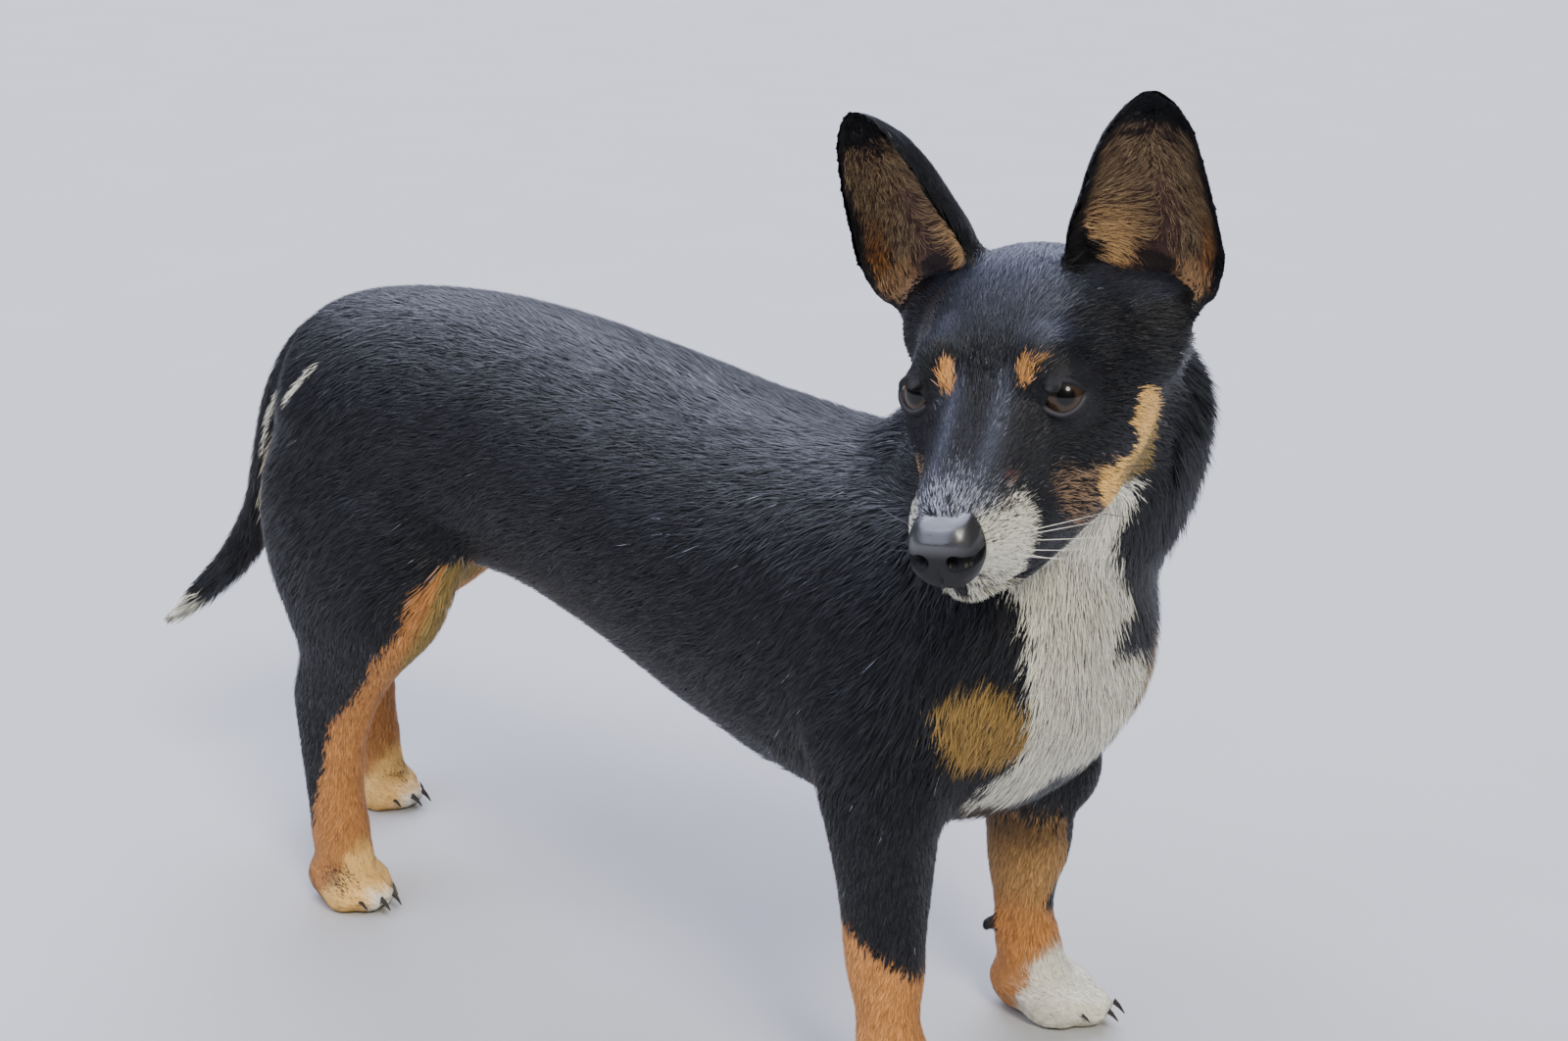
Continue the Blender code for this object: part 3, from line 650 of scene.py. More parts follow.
# outlines in millimetres: the first three seen from the head's left, the others from the front of the body
CHEEK_PATCH = (
    (-34, -11), (-23, -15), (-18, -24), (-23, -33), (-16, -37), (-4, -33), (0.5, -34), (4, -40),
    (3, -50), (-2.5, -56), (-23.3, -63.1), (-48, -62.4), (-51, -44.3), (-54, -34.8), (-43, -19.5),
)
JAW_PATCH = (
    (-6, -31), (4.2, -28.9), (13, -24), (19, -29), (20, -40), (18, -50), (6, -58), (-12, -60), (-8, -42),
)
THROAT_PATCH = (
    (-52, -66), (-24, -63), (-5, -56), (-3, -64), (4, -69), (24, -70), (44, -66), (60, -80), (60, -130),
    (-60, -130),
)
BIB = (
    (-14, 322), (-20, 302), (-29, 285), (-36, 277), (-37, 271), (-36, 262), (-38, 245), (-36, 235),
    (-39, 226), (-37, 216), (-32, 196), (-31, 181), (-27, 165), (-13, 159), (-5, 160), (-3, 170),
    (7, 176), (33, 170), (42, 190), (44, 213), (49, 219), (43, 226),
    (16, 232), (22, 238), (26, 246), (31, 253), (18, 273), (5, 289), (12, 312), (20, 340),
)
CHEST_PATCH = (
    (-53, 229), (-46, 230), (-41, 224), (-35, 211), (-32, 199), (-35, 190), (-47, 186), (-52, 196),
    (-54, 212),
)


# heights, and how far out the tan of the far foreleg or how far back the tan of the near hind leg reaches
FAR_FORELEG_RIM = (0.050, 0.062, 0.075, 0.090, 0.111, 0.126), (0.100, 0.0898, 0.0979, 0.0994, 0.0922, 0.0862)
HINDLEG_BORDER = (
    (0.04, 0.075, 0.106, 0.128, 0.150, 0.172, 0.196, 0.213),
    (-0.1675, -0.159, -0.152, -0.133, -0.118, -0.098, -0.088, -0.070),
)


class Pattern:
    """The coat's two hair colours at each point and the share of the lighter one, from which the skin's
    colour is made.
    """

    def __init__(self, count):
        self.dark = np.tile(BLACK, (count, 1))
        self.light = np.tile(GREY_HAIR, (count, 1))
        self.share = np.full(count, 0.0015)

    def paint(self, mask, colour, amount=1.0):
        """Brings in a lighter colour."""
        keep = 1 - np.clip(mask * 4, 0, 1)[:, None]
        self.light = self.light * keep + np.asarray(colour) * (1 - keep)
        self.share = self.share * (1 - mask) + amount * mask

    def tint(self, mask, colour):
        """Changes the lighter colour alone."""
        self.light = blend(self.light, colour, mask)

    def dull(self, mask, colour):
        """Changes the darker colour alone."""
        self.dark = blend(self.dark, colour, mask)

    def blacken(self, mask):
        """Takes the lighter colour away."""
        self.share = self.share * (1 - mask)


TAIL_STRIPS = (
    ((-0.1600, -0.0330, 0.3060), (-0.1680, -0.0360, 0.2960), (-0.1780, -0.0372, 0.2850)),
    ((-0.2250, 0.0100, 0.2790), (-0.2334, 0.0131, 0.2685), (-0.2410, 0.0129, 0.2541),
     (-0.2432, 0.0129, 0.2463), (-0.2460, 0.0130, 0.2350)),
)


def wavy(points, sizes, amounts, seed):
    """An uneven shift in metres for the edges of the markings, from a coarse and a fine drift."""
    return sum(drift(points, size, seed + k) * amount for k, (size, amount) in enumerate(zip(sizes, amounts)))


def coat_pattern(points, normals, local, label):
    """Where the coat is black, tan, white or mixed, with painted sheen on the bridge and the crown."""
    x, y, z = local.T
    wobble = wavy(points, (0.006, 0.0022), (0.0016, 0.0009), 3)
    sway = wavy(points, (0.006, 0.0022), (0.0016, 0.0009), 5)
    pattern = Pattern(len(points))
    on_head = in_parts(label, "head")
    hx, hz, side = x + wobble, z + sway, np.abs(y)
    face = on_head & (side < 0.062) & (y > -0.048)

    cheek = within(hx, hz, CHEEK_PATCH, 0.0016) * face * ease(0.018, 0.026, side)
    pattern.paint(cheek, CHEEK_TAN, 0.995)
    # painted shade: the lower part of the cheek patch, under the jaw, gets a darker olive tan
    pattern.tint(all_of((hz, -0.034, -0.048), (hx, -0.004, -0.022)) * (cheek > 0), TAN_IN_PAINTED_SHADE)
    jaw = within(hx, hz, JAW_PATCH, 0.0055) * face * ease(0.016, 0.022, side)
    pattern.paint(jaw * (1 - cheek), BROWN, 0.55)
    spot = ellipsoid(local, (0.037, 0.021, -0.0136), (0.005, 0.006, 0.003), 0.6) * face
    pattern.paint(spot * 0.6, SPOT_BROWN, 0.6)

    shaken = local + np.stack((wobble, sway, wobble), axis=1)
    near_pip = ellipsoid(shaken, (0.006, 0.0192, 0.0180), (0.010, 0.0036, 0.0060), 0.35)
    beside_pip = ellipsoid(local, (0.005, 0.0248, 0.0205), (0.010, 0.0046, 0.0036), 0.45)
    far_pip = ellipsoid(shaken, (0.006, -0.0164, 0.0145), (0.010, 0.0034, 0.0062), 0.35)
    pattern.paint(beside_pip * face, DULL_TAN, 0.55)
    pattern.paint(near_pip * face, PIP_TAN, 0.96)
    pattern.paint(far_pip * face, PIP_TAN, 0.96)

    frost = all_of((hx + 0.25 * (0.012 - side), 0.034, 0.062), (hz, -0.055, -0.040)) * face
    pattern.paint(frost, GREY_HAIR * 1.3, 0.42)
    behind = hx - 0.033 - 0.5 * np.maximum(0, -0.030 - hz)
    pad = all_of((behind, -0.006, 0.006), (side, 0.010, 0.015), (hz, -0.013, -0.034), (hz, -0.060, -0.052))
    pattern.paint(pad * face, WHITE, 0.95)
    # painted sheen along the bridge of the muzzle: more grey hairs and a lighter dark colour
    bridge = all_of((hx, 0.000, 0.012), (hx, 0.060, 0.030), (hz, -0.030, -0.012))
    bridge = bridge * bell(side, 0.011, 0.004) * face
    pattern.share = np.maximum(pattern.share, bridge * 0.07)
    pattern.dull(bridge * 0.9, BRIDGE_SHEEN)
    # painted sheen on the crown, where the skin faces up: a lighter dark colour
    crown = all_of((normals[:, 2], 0.45, 0.95), (np.abs(hx - 0.020), 0.020, 0.035), (hx, 0.060, 0.045))
    pattern.dull(crown * face, CROWN_SHEEN)
    chin = all_of((hx, 0.040, 0.050), (hz, -0.0555, -0.0585)) * face
    pattern.paint(chin, CREAM, 0.9)
    front_lip = all_of((hx, 0.052, 0.058), (hz, -0.045, -0.049), (side, 0.0015, 0.004)) * face
    pattern.paint(front_lip, WHITE * 0.9, 0.75)

    throat = within(hx, hz, THROAT_PATCH, 0.0025) * (np.linalg.norm(local, axis=1) < 0.12) * (x > -0.056)
    limit = np.clip(0.038 + (z + 0.080) * 0.9, 0.024, 0.041)
    throat = throat * ease(0.272, 0.286, points[:, 2] + wobble * 2)
    throat = throat * all_of((y + wobble, -0.036, -0.028), (y + wobble - limit, 0.003, -0.003))
    pattern.paint(throat, WHITE, 0.995)

    ahead = all_of((points[:, 0], 0.218, 0.234), (normals[:, 0], -0.10, 0.20)) * ~on_head
    wander = drift(points, 0.012, 7) * 0.0025
    bib = within(points[:, 1] + wobble + wander, points[:, 2] + sway, BIB, 0.0022) * ahead
    pattern.paint(bib, WHITE, 0.996)
    mirrored = np.where(points[:, 1] < 0.008, points[:, 1], 0.012 - points[:, 1])
    chest = within(mirrored + wobble, points[:, 2] + sway, CHEST_PATCH, 0.002) * ahead
    pattern.paint(chest * (1 - bib), CHEST_TAN, 0.97)
    return pattern


def foreleg_pattern(pattern, points, normals, label, wobble):
    """Tan below a slanting edge, a black outer line on the far leg, its tan darker towards the top as painted
    shade under the chest, and white feet.
    """
    x, y, z = points.T
    zw = z + wobble
    near = in_parts(label, "leg_front_right")
    line = 0.090 + (0.215 - x) * 0.55 + 0.004 * np.clip(normals[:, 1] * -1, -1, 1)
    low = ease(0.004, -0.004, zw - line)
    rear = all_of((normals[:, 0], -0.62, -0.85), (zw, 0.190, 0.175))
    inner = all_of((normals[:, 1], 0.35, 0.70), (zw, 0.150, 0.130))
    pattern.paint(np.maximum(np.maximum(low, rear * 0.9), inner) * near, LEG_TAN * 1.16, 0.998)

    far = in_parts(label, "leg_front_left")
    rim = np.interp(z, *FAR_FORELEG_RIM)
    outer = all_of((y - rim + wobble, -0.0012, 0.0012), (z, 0.050, 0.060))
    tan = ease(0.122, 0.104, zw) * (1 - outer) * far
    pattern.paint(tan, LEG_TAN * 0.96, 0.998)
    pattern.light = pattern.light * (1 - (far * ease(0.050, 0.075, zw))[:, None] * (1 - PALER_FORELEG))
    # painted shade: the far leg's tan darkens towards its top, under the chest
    pattern.light = pattern.light * (1 - 0.62 * (tan * ease(0.082, 0.108, zw))[:, None])
    for leg, start, top, tone in ((far, 0.222, 0.040, 1.0), (near, 0.236, 0.034, 0.95)):
        foot = x + (0.03 - z) * 0.25 + wobble
        pattern.paint(leg * all_of((foot, start, start + 0.010), (z, top, top - 0.010)), WHITE * tone, 0.999)
    pads = ellipsoid(points, (0.1955, 0.0750, 0.0490), (0.0080, 0.0070, 0.0085), 0.4) * far
    pattern.blacken(pads)


def hindleg_pattern(pattern, points, label, wobble):
    """Tan in front and inside, a darker olive tan high inside as painted shade, pale feet with a few dark
    marks.
    """
    x, y, z = points.T
    zw = z + wobble
    for name, middle, shift, inwards in (("hind_right", -0.0386, 0.0, 1), ("hind_left", 0.0790, -0.0770, -1)):
        leg = in_parts(label, "leg_" + name)
        border = np.interp(z, *HINDLEG_BORDER) + shift
        front = all_of((x - border + wobble, -0.004, 0.004), (zw, 0.222, 0.208))
        inner = all_of(((y - middle) * inwards, 0.004, 0.014), (zw, 0.215, 0.200))
        low = ease(0.050, 0.036, zw)
        pattern.paint(np.maximum(np.maximum(front, inner), low) * leg, LEG_TAN * 0.84, 0.998)
        # painted shade: high on the inside of the hind legs, under the body, the tan is a darker olive
        pattern.paint(leg * inner * ease(0.140, 0.175, z), TAN_IN_PAINTED_SHADE * 1.25, 0.995)
        heel = FEET[name][0][0]
        ahead = x + (0.02 - z) * 0.4 + wobble - heel
        low = leg * ease(0.040, 0.028, z)
        pattern.paint(low * ease(0.026, 0.040, ahead), CHEEK_TAN * 1.05, 0.995)
        pattern.paint(low * ease(0.052, 0.062, ahead), WHITE * 0.95, 0.998)
        spot = (heel + 0.032, middle - inwards * 0.006, 0.0200)
        smudge = ellipsoid(points, spot, (0.010, 0.010, 0.006), 0.9)
        pattern.share = pattern.share * (1 - 0.6 * smudge * leg)


def limb_pattern(pattern, points, normals, label):
    """The tan and white of the legs, and the white on the tail."""
    wobble = wavy(points, (0.007, 0.0024), (0.0022, 0.0010), 8)
    foreleg_pattern(pattern, points, normals, label, wobble)
    hindleg_pattern(pattern, points, label, wobble)

    tail = in_parts(label, "tail")
    behind = in_parts(label, "tail", "trunk", "leg_hind_right", "leg_hind_left")
    beside = np.minimum(*(along_path(points, path)[0] for path in TAIL_STRIPS))
    pattern.paint(ease(0.0026, 0.0014, beside + wobble * 0.4) * behind, WHITE * 0.95, 0.92)
    place = along_path(points, TAIL_PATH)[1]
    pattern.paint(ease(0.885, 0.905, place + wobble * 2) * tail, WHITE, 0.998)
    fringe = ellipsoid(points, (-0.2480, 0.0160, 0.2200), (0.014, 0.016, 0.028), 0.4)
    pattern.paint(fringe * tail * ease(0.1, 0.5, normals[:, 0]), CREAM * 0.85, 0.75)
    belly = all_of((normals[:, 2], -0.75, -0.95), (points[:, 0], -0.02, -0.07)) * in_parts(label, "trunk")
    pattern.paint(belly, CREAM * 0.7, 0.6)


# ---------------------------------------------------------------- the lie and the size of the hair

def flow(mask, lie, way):
    """Turns the hair's lie towards a way, where the mask is 1."""
    return blend(lie, unit(np.asarray(way, float)), mask)


def lie_of_coat(points, normals, edges, local, label, ears):
    """The way the hair points, along the skin, at each point."""
    x, y, z = points.T
    hang = np.clip(1 - (normals[:, 2] + 0.2) / 1.1, 0, 1)
    lie = unit(ways(-1.0, 0.0, -0.12 - 0.55 * hang))
    lie = flow(ease(0.085, 0.150, x) * 0.8, lie, (-0.55, 0.0, -0.80))
    lie = flow(ease(0.20, 0.235, x), lie, ways(-0.05, (y - 0.01) * 9, -1.0))
    lie = flow(ease(-0.075, -0.150, x) * 0.85, lie, (-0.55, 0.0, -0.75))
    belly = ease(-0.45, -0.85, normals[:, 2]) * in_parts(label, "trunk")
    lie = flow(belly, lie, (-1.0, 0.0, -0.2))
    neck = in_parts(label, "neck") * ease(0.26, 0.31, z)
    lie = flow(neck * 0.8, lie, (-0.62, 0.28, -0.72))
    leg = in_parts(label, "leg_front_left", "leg_front_right", "leg_hind_left", "leg_hind_right")
    lie = flow(leg * ease(0.20, 0.16, z) * 0.92, lie, (-0.18, 0.0, -1.0))
    for heel, heading, _, length in FEET.values():
        turn = math.radians(heading)
        ahead = np.array((math.cos(turn), math.sin(turn), -0.25))
        near = np.linalg.norm(points[:, :2] - np.array(heel) - ahead[:2] * length * 0.6, axis=1) < 0.06
        lie = flow(near * ease(0.034, 0.022, z), lie, ahead)
    away, place = along_path(points, TAIL_PATH)
    tail = in_parts(label, "tail") | (away < 0.022) & (x < -0.19)
    steps = np.gradient(np.array(TAIL_PATH), axis=0)
    place = place * (len(steps) - 1)
    along = np.stack([np.interp(place, np.arange(len(steps)), column) for column in steps.T], axis=1)
    lie = flow(tail, lie, along)

    hx, hy, hz = local.T
    side, width = np.clip(hy / 0.02, -1, 1), np.abs(hy)
    muzzle = ways(-1.0, side * (0.35 + 0.3 * ease(-0.02, -0.045, hz)), 0.25 - ease(-0.015, -0.045, hz))
    crown = ways(-0.9, side * 0.55 * ease(0.005, 0.03, width), 0.50 - 1.1 * ease(0.02, 0.045, width))
    face = blend(crown, muzzle, ease(0.005, 0.025, hx))
    face = blend(face, ways(-1.0, side * 0.1, -0.75), all_of((hz, -0.004, -0.028), (hx, 0.024, 0.004)))
    face = blend(face, ways(0.1, side * 0.5, -1.0), all_of((hx, 0.050, 0.060), (hz, -0.042, -0.050)))
    on_head = in_parts(label, "head").astype(float) * ease(-0.095, -0.070, hx)
    lie = flow(on_head, lie, unit(face) @ HEAD_TURN.T)
    lie = lie - normals * (lie * normals).sum(axis=1, keepdims=True)
    still = 0.5 * (1 - ears["any"])
    lie = relax(lie, edges, 40, still)
    for chosen, way in ears["ways"]:
        lie[chosen] = way @ HEAD_TURN.T
    lie = relax(lie, edges, 8, 0.5)

    turn = drift(points, 0.030, 11) * 0.20 + drift(points, 0.009, 12) * 0.17 + drift(points, 0.004, 13) * 0.10
    turn = turn * (1 - 0.4 * on_head)
    lie = unit(lie - normals * (lie * normals).sum(axis=1, keepdims=True))
    return lie * np.cos(turn)[:, None] + np.cross(normals, lie) * np.sin(turn)[:, None]


def read_ears(local, normals, label):
    """For each ear: which points are in the cup, where they are on it, and how its hair lies."""
    ears = {"any": np.zeros(len(local)), "cup": np.zeros(len(local)), "across": np.full(len(local), 0.5),
            "up": np.zeros(len(local)), "ways": []}
    turned = normals @ HEAD_TURN
    for side, name in ((1, "ear_left"), (-1, "ear_right")):
        chosen = np.nonzero(in_parts(label, name))[0]
        across, up, along_across, along_up = ear_places(local, chosen, side)
        back = EAR_BACK * (1, side, 1)
        hollow = np.cross(along_across, along_up) * side
        cup = ease(0.0, 0.35, (turned[chosen] * -hollow).sum(axis=1))
        if (hollow @ unit(back)).mean() < 0:
            cup = 1 - cup
        cup = np.where(up > 0.97, 0, cup)
        inwards = ease(0.66, 0.45, across) * 1.1 - 0.35
        climb = 0.10 + 1.3 * ease(0.25, 0.60, up) + 0.7 * ease(0.45, 0.70, across)
        climb = climb - 0.9 * ease(0.20, 0.05, up) * ease(0.7, 0.6, across)
        way = blend(along_up, along_across * inwards[:, None] + along_up * climb[:, None], cup)
        ears["any"][chosen] = 1
        ears["cup"][chosen] = cup
        ears["across"][chosen] = across
        ears["up"][chosen] = up
        ears["ways"].append((chosen, unit(way)))
    across, up, cup = ears["across"], ears["up"], ears["cup"]
    wobble = drift(local, 0.008, 14) * 0.05 + drift(local, 0.003, 15) * 0.03
    inner_rim = np.interp(up, (0, 0.10, 0.21, 0.30, 0.50, 0.74), (0.40, 0.31, 0.19, 0.10, 0.08, 0.10))
    spread = across + wobble * 0.6
    rim = np.maximum(ease(0.04, -0.03, spread - inner_rim), ease(0.90, 0.96, spread))
    ears["hairy"] = cup * (1 - rim) * ease(0.71, 0.58, up + wobble)
    # where the ear canal opens; the skin and hair there are darkened later as painted shade
    ears["canal"] = cup * ellipsoid(ways(across, up, 0.0), (0.58, 0.07, 0.0), (0.14, 0.13, 1.0), 0.35)
    ears["bare"] = cup * bell(across, 0.60, 0.12) * all_of((up, 0.02, 0.12), (up, 0.58, 0.40))
    return ears


def ear_pattern(pattern, points, ears):
    """Black rims and tips, tan hair that fans out from a bare, dark middle, a tan outer lobe, and painted
    shade in the opening of the canal.
    """
    across, up, cup, hairy = ears["across"], ears["up"], ears["cup"], ears["hairy"]
    height = into_head(points)[:, 2]
    pattern.paint(hairy, EAR_HAIR * 1.10, 0.50)
    pattern.dull(hairy, EAR_SKIN * 0.75)
    bright = hairy * ease(0.58, 0.40, across) * ease(0.46, 0.22, up)
    pattern.tint(bright, EAR_HAIR * np.array((1.55, 1.35, 1.12)))
    pattern.share = np.maximum(pattern.share, bright * 0.86)
    edge = hairy * ease(0.78, 0.86, across) * ease(0.10, 0.2, up) * ease(0.42, 0.30, up)
    pattern.tint(edge, LEG_TAN * 1.30)
    lobe = all_of((across, 0.64, 0.72), (across, 0.99, 0.95), (up, 0.20, 0.13), (height, 0.010, 0.022))
    pattern.paint(lobe * cup, LOBE_TAN, 0.88)
    # painted shade in the opening of the ear canal: only the dark hair colour
    pattern.blacken(ears["canal"])


class Hair:
    """How long, wide, raised, clinging and full the hair is, in metres and in tufts for a square metre."""

    def __init__(self, count):
        self.long = np.full(count, 0.0150)
        self.wide = np.full(count, 0.00105)
        self.rise = np.full(count, 0.0026)
        self.cling = np.full(count, 1.0)
        self.full = np.full(count, 0.80e6)

    def set(self, mask, long, wide, rise, full, cling=1.0):
        for key, value in (("long", long), ("wide", wide), ("rise", rise), ("full", full), ("cling", cling)):
            old = getattr(self, key)
            setattr(self, key, old + (value - old) * mask)


def hair_of_coat(points, normals, local, label, ears):
    """The hair's size all over: the body, the legs, the tail, the head and then the ears."""
    x, y, z = points.T
    hx, hy, hz = local.T
    side = np.abs(hy)
    hair = Hair(len(points))
    neck = in_parts(label, "neck") * 1.0
    hair.set(neck, 0.0170, 0.0012, 0.0036, 0.95e6)
    legs = in_parts(label, "leg_front_left", "leg_front_right", "leg_hind_left", "leg_hind_right") * 1.0
    hair.set(legs * ease(0.200, 0.150, z), 0.0072, 0.00080, 0.0012, 1.45e6)
    hair.set(legs * ease(0.050, 0.030, z), 0.0044, 0.00062, 0.0008, 2.4e6)
    rear = in_parts(label, "leg_hind_left", "leg_hind_right")
    rear = rear * all_of((normals[:, 0], -0.35, -0.75), (z, 0.11, 0.15))
    hair.set(rear, 0.0180, 0.0011, 0.0034, 1.1e6, 0.75)
    tail = in_parts(label, "tail") * 1.0
    hair.set(tail, 0.0170, 0.0011, 0.0026, 1.1e6)
    under = tail * ease(0.1, 0.7, normals[:, 0] - normals[:, 2] * 0.3)
    hair.set(under, 0.0210, 0.0011, 0.0040, 1.3e6, 0.6)
    bib = all_of((x, 0.225, 0.245), (z, 0.155, 0.175), (normals[:, 0], -0.2, 0.3))
    hair.set(bib * ~in_parts(label, "head"), 0.0165, 0.00062, 0.0038, 2.3e6, 0.85)
    hem = in_parts(label, "trunk") * ease(-0.55, -0.85, normals[:, 2])
    hair.set(hem, 0.0160, 0.0011, 0.0034, 0.9e6, 0.7)

    for path in TAIL_STRIPS:
        near = ease(0.0100, 0.0040, along_path(points, path)[0])
        hair.set(near, 0.0080, 0.0006, 0.0018, 2.4e6, 0.8)
    frayed = neck * ease(0.292, 0.302, x) * ease(0.010, 0.035, y) * ease(0.325, 0.340, z)
    hair.set(frayed, 0.0210, 0.0009, 0.0085, 1.7e6, 0.15)

    head = in_parts(label, "head") * ease(-0.100, -0.075, hx)
    hair.set(head, 0.0080, 0.00080, 0.0015, 1.9e6)
    cheek = head * ease(0.010, -0.020, hx) * ease(0.010, -0.010, hz)
    hair.set(cheek, 0.0095, 0.00085, 0.0021, 1.8e6)
    throat = head * ease(-0.055, -0.068, hz) * ease(0.045, 0.020, hx)
    hair.set(throat, 0.0150, 0.0010, 0.0034, 1.5e6, 0.85)
    chin = head * ease(0.036, 0.048, hx) * ease(-0.0545, -0.0580, hz)
    ruff = all_of((hx, -0.052, -0.070), (side, 0.020, 0.032), (hz, 0.000, -0.012))
    ruff = ruff * (np.linalg.norm(local, axis=1) < 0.13)
    hair.set(ruff * ~in_parts(label, "ear_left", "ear_right"), 0.0240, 0.0009, 0.0062, 1.8e6, 0.2)
    muzzle = head * ease(0.004, 0.030, hx)
    hair.set(muzzle, 0.0048, 0.00038, 0.0010, 4.6e6)
    hair.set(chin, 0.0085, 0.00045, 0.0026, 3.2e6, 0.3)
    front_lip = head * ease(0.052, 0.058, hx) * ease(-0.045, -0.049, hz)
    hair.set(front_lip, 0.0060, 0.00036, 0.0016, 5.0e6, 0.4)
    away = np.linalg.norm(local - (0.004, 0, 0.004), axis=1)
    brow = head * all_of((hx, 0.030, -0.004), (away, 0.055, 0.020))
    hair.set(brow * (1 - muzzle), 0.0052, 0.00065, 0.0010, 2.5e6)
    for eye in (1, -1):
        away = np.linalg.norm(local - on_side(EYE_AT, eye), axis=1)
        hair.set(ease(0.020, 0.0135, away), 0.0030, 0.00048, 0.0006, 3.2e6)
    ear = ears["any"]
    hair.set(ear, 0.0060, 0.00070, 0.0008, 1.7e6)
    inner = ear * ears["hairy"]
    hair.set(inner, 0.0075, 0.00036, 0.0016, 2.2e6, 0.7)
    fringe = ear * ears["cup"] * ease(0.42, 0.22, ears["across"]) * ease(0.66, 0.40, ears["up"])
    hair.set(fringe, 0.0120, 0.00038, 0.0030, 3.4e6, 0.5)
    hair.full = hair.full * (1 - 0.90 * ears["bare"]) * (1 - ears["canal"] * 0.95)
    root = ear * (1 - ears["cup"]) * ease(0.20, 0.05, ears["up"])
    hair.set(root, 0.0060, 0.00060, 0.0010, 2.0e6)
    return hair


# ---------------------------------------------------------------- node trees written as expressions

class Wire:
    """One value on its way through a node tree. Arithmetic on it adds Math nodes."""

    def __init__(self, sheet, socket):
        self.sheet, self.socket = sheet, socket

    def __add__(self, other):
        return self.sheet.math("ADD", self, other)

    def __radd__(self, other):
        return self.sheet.math("ADD", other, self)

    def __sub__(self, other):
        return self.sheet.math("SUBTRACT", self, other)

    def __rsub__(self, other):
        return self.sheet.math("SUBTRACT", other, self)

    def __mul__(self, other):
        return self.sheet.math("MULTIPLY", self, other)

    def __rmul__(self, other):
        return self.sheet.math("MULTIPLY", other, self)

    def __pow__(self, other):
        return self.sheet.math("POWER", self, other)

    def __lt__(self, other):
        return self.sheet.math("LESS_THAN", self, other)


class Sheet:
    """A node tree, with one call for each kind of thing that is put on it."""

    def __init__(self, tree):
        self.tree = tree
        tree.nodes.clear()

    @staticmethod
    def pick(sockets, key):
        if isinstance(key, int):
            return sockets[key]
        return next(socket for socket in sockets if socket.name == key and socket.enabled)

    def node(self, kind, settings=None, sockets=None):
        node = self.tree.nodes.new(kind)
        for key, value in (settings or {}).items():
            if key == "stops":
                ramp = node.color_ramp
                for place, colour in value[2:]:
                    ramp.elements.new(place).color = (*colour, 1)
                ramp.elements[0].position, ramp.elements[-1].position = value[0][0], value[1][0]
                ramp.elements[0].color, ramp.elements[-1].color = (*value[0][1], 1), (*value[1][1], 1)
            else:
                setattr(node, key, value)
        for key, value in (sockets or {}).items():
            socket = self.pick(node.inputs, key)
            if isinstance(value, Wire):
                self.tree.links.new(value.socket, socket)
            else:
                socket.default_value = value
        return node

    def get(self, kind, settings=None, sockets=None, out=0):
        node = self.node(kind, settings, sockets)
        return Wire(self, self.pick(node.outputs, out))

    def math(self, operation, *values):
        return self.get("ShaderNodeMath", {"operation": operation}, dict(enumerate(values)))

    def vector(self, operation, *values, out="Vector", scale=None):
        sockets = dict(enumerate(values))
        if scale is not None:
            sockets["Scale"] = scale
        return self.get("ShaderNodeVectorMath", {"operation": operation}, sockets, out)

    def combine(self, x, y, z):
        return self.get("ShaderNodeCombineXYZ", None, {"X": x, "Y": y, "Z": z})

    def mix(self, kind, factor, a, b, **settings):
        """kind is RGBA, VECTOR or FLOAT."""
        place = {"FLOAT": (0, 2, 3), "VECTOR": (0, 4, 5), "RGBA": (0, 6, 7)}[kind]
        out = {"FLOAT": 0, "VECTOR": 1, "RGBA": 2}[kind]
        sockets = dict(zip(place, (factor, a, b)))
        return self.get("ShaderNodeMix", {"data_type": kind, **settings}, sockets, out)


class Finish(Sheet):
    """A material's node tree, which one shader closes."""

    def __init__(self, name):
        self.material = bpy.data.materials.new(name)
        self.material.use_nodes = True
        super().__init__(self.material.node_tree)

    def read(self, name, out="Fac"):
        return self.get("ShaderNodeAttribute", {"attribute_name": name}, None, out)

    def place(self):
        return self.get("ShaderNodeTexCoord", None, None, "Object")

    def noise(self, vector, scale, detail, roughness=0.5):
        sockets = {"Vector": vector, "Scale": scale, "Detail": detail, "Roughness": roughness}
        return self.get("ShaderNodeTexNoise", None, sockets, 0)

    def part(self, vector, number):
        """One number of a vector or of a colour."""
        return Wire(self, self.node("ShaderNodeSeparateXYZ", None, {"Vector": vector}).outputs[number])

    def toned(self, colour, tone):
        """A colour made darker or lighter by a number."""
        return self.mix("RGBA", 1.0, colour, self.combine(tone, tone, tone), blend_type="MULTIPLY")

    def bump(self, height, strength, distance, **more):
        sockets = {"Height": height, "Strength": strength, "Distance": distance, **more}
        return self.get("ShaderNodeBump", None, sockets, "Normal")

    def shader(self, sockets):
        return self.get("ShaderNodeBsdfPrincipled", None, sockets, "BSDF")

    def closed(self, shader):
        """The material, once its shader is on its output."""
        self.node("ShaderNodeOutputMaterial", None, {"Surface": shader})
        return self.material


# ---------------------------------------------------------------- the coat

PIECES = (
    "muzzle_coat", "brow_coat", "crown_coat", "cheek_coat", "ear_coat", "neck_coat", "chest_coat",
    "shoulder_coat", "flank_coat", "rump_coat", "foreleg_coat", "hindleg_coat", "tail_coat",
)
MAX_TUFTS = 60_000  # in one piece
MAX_TUFTS_IN_ALL = 494_000


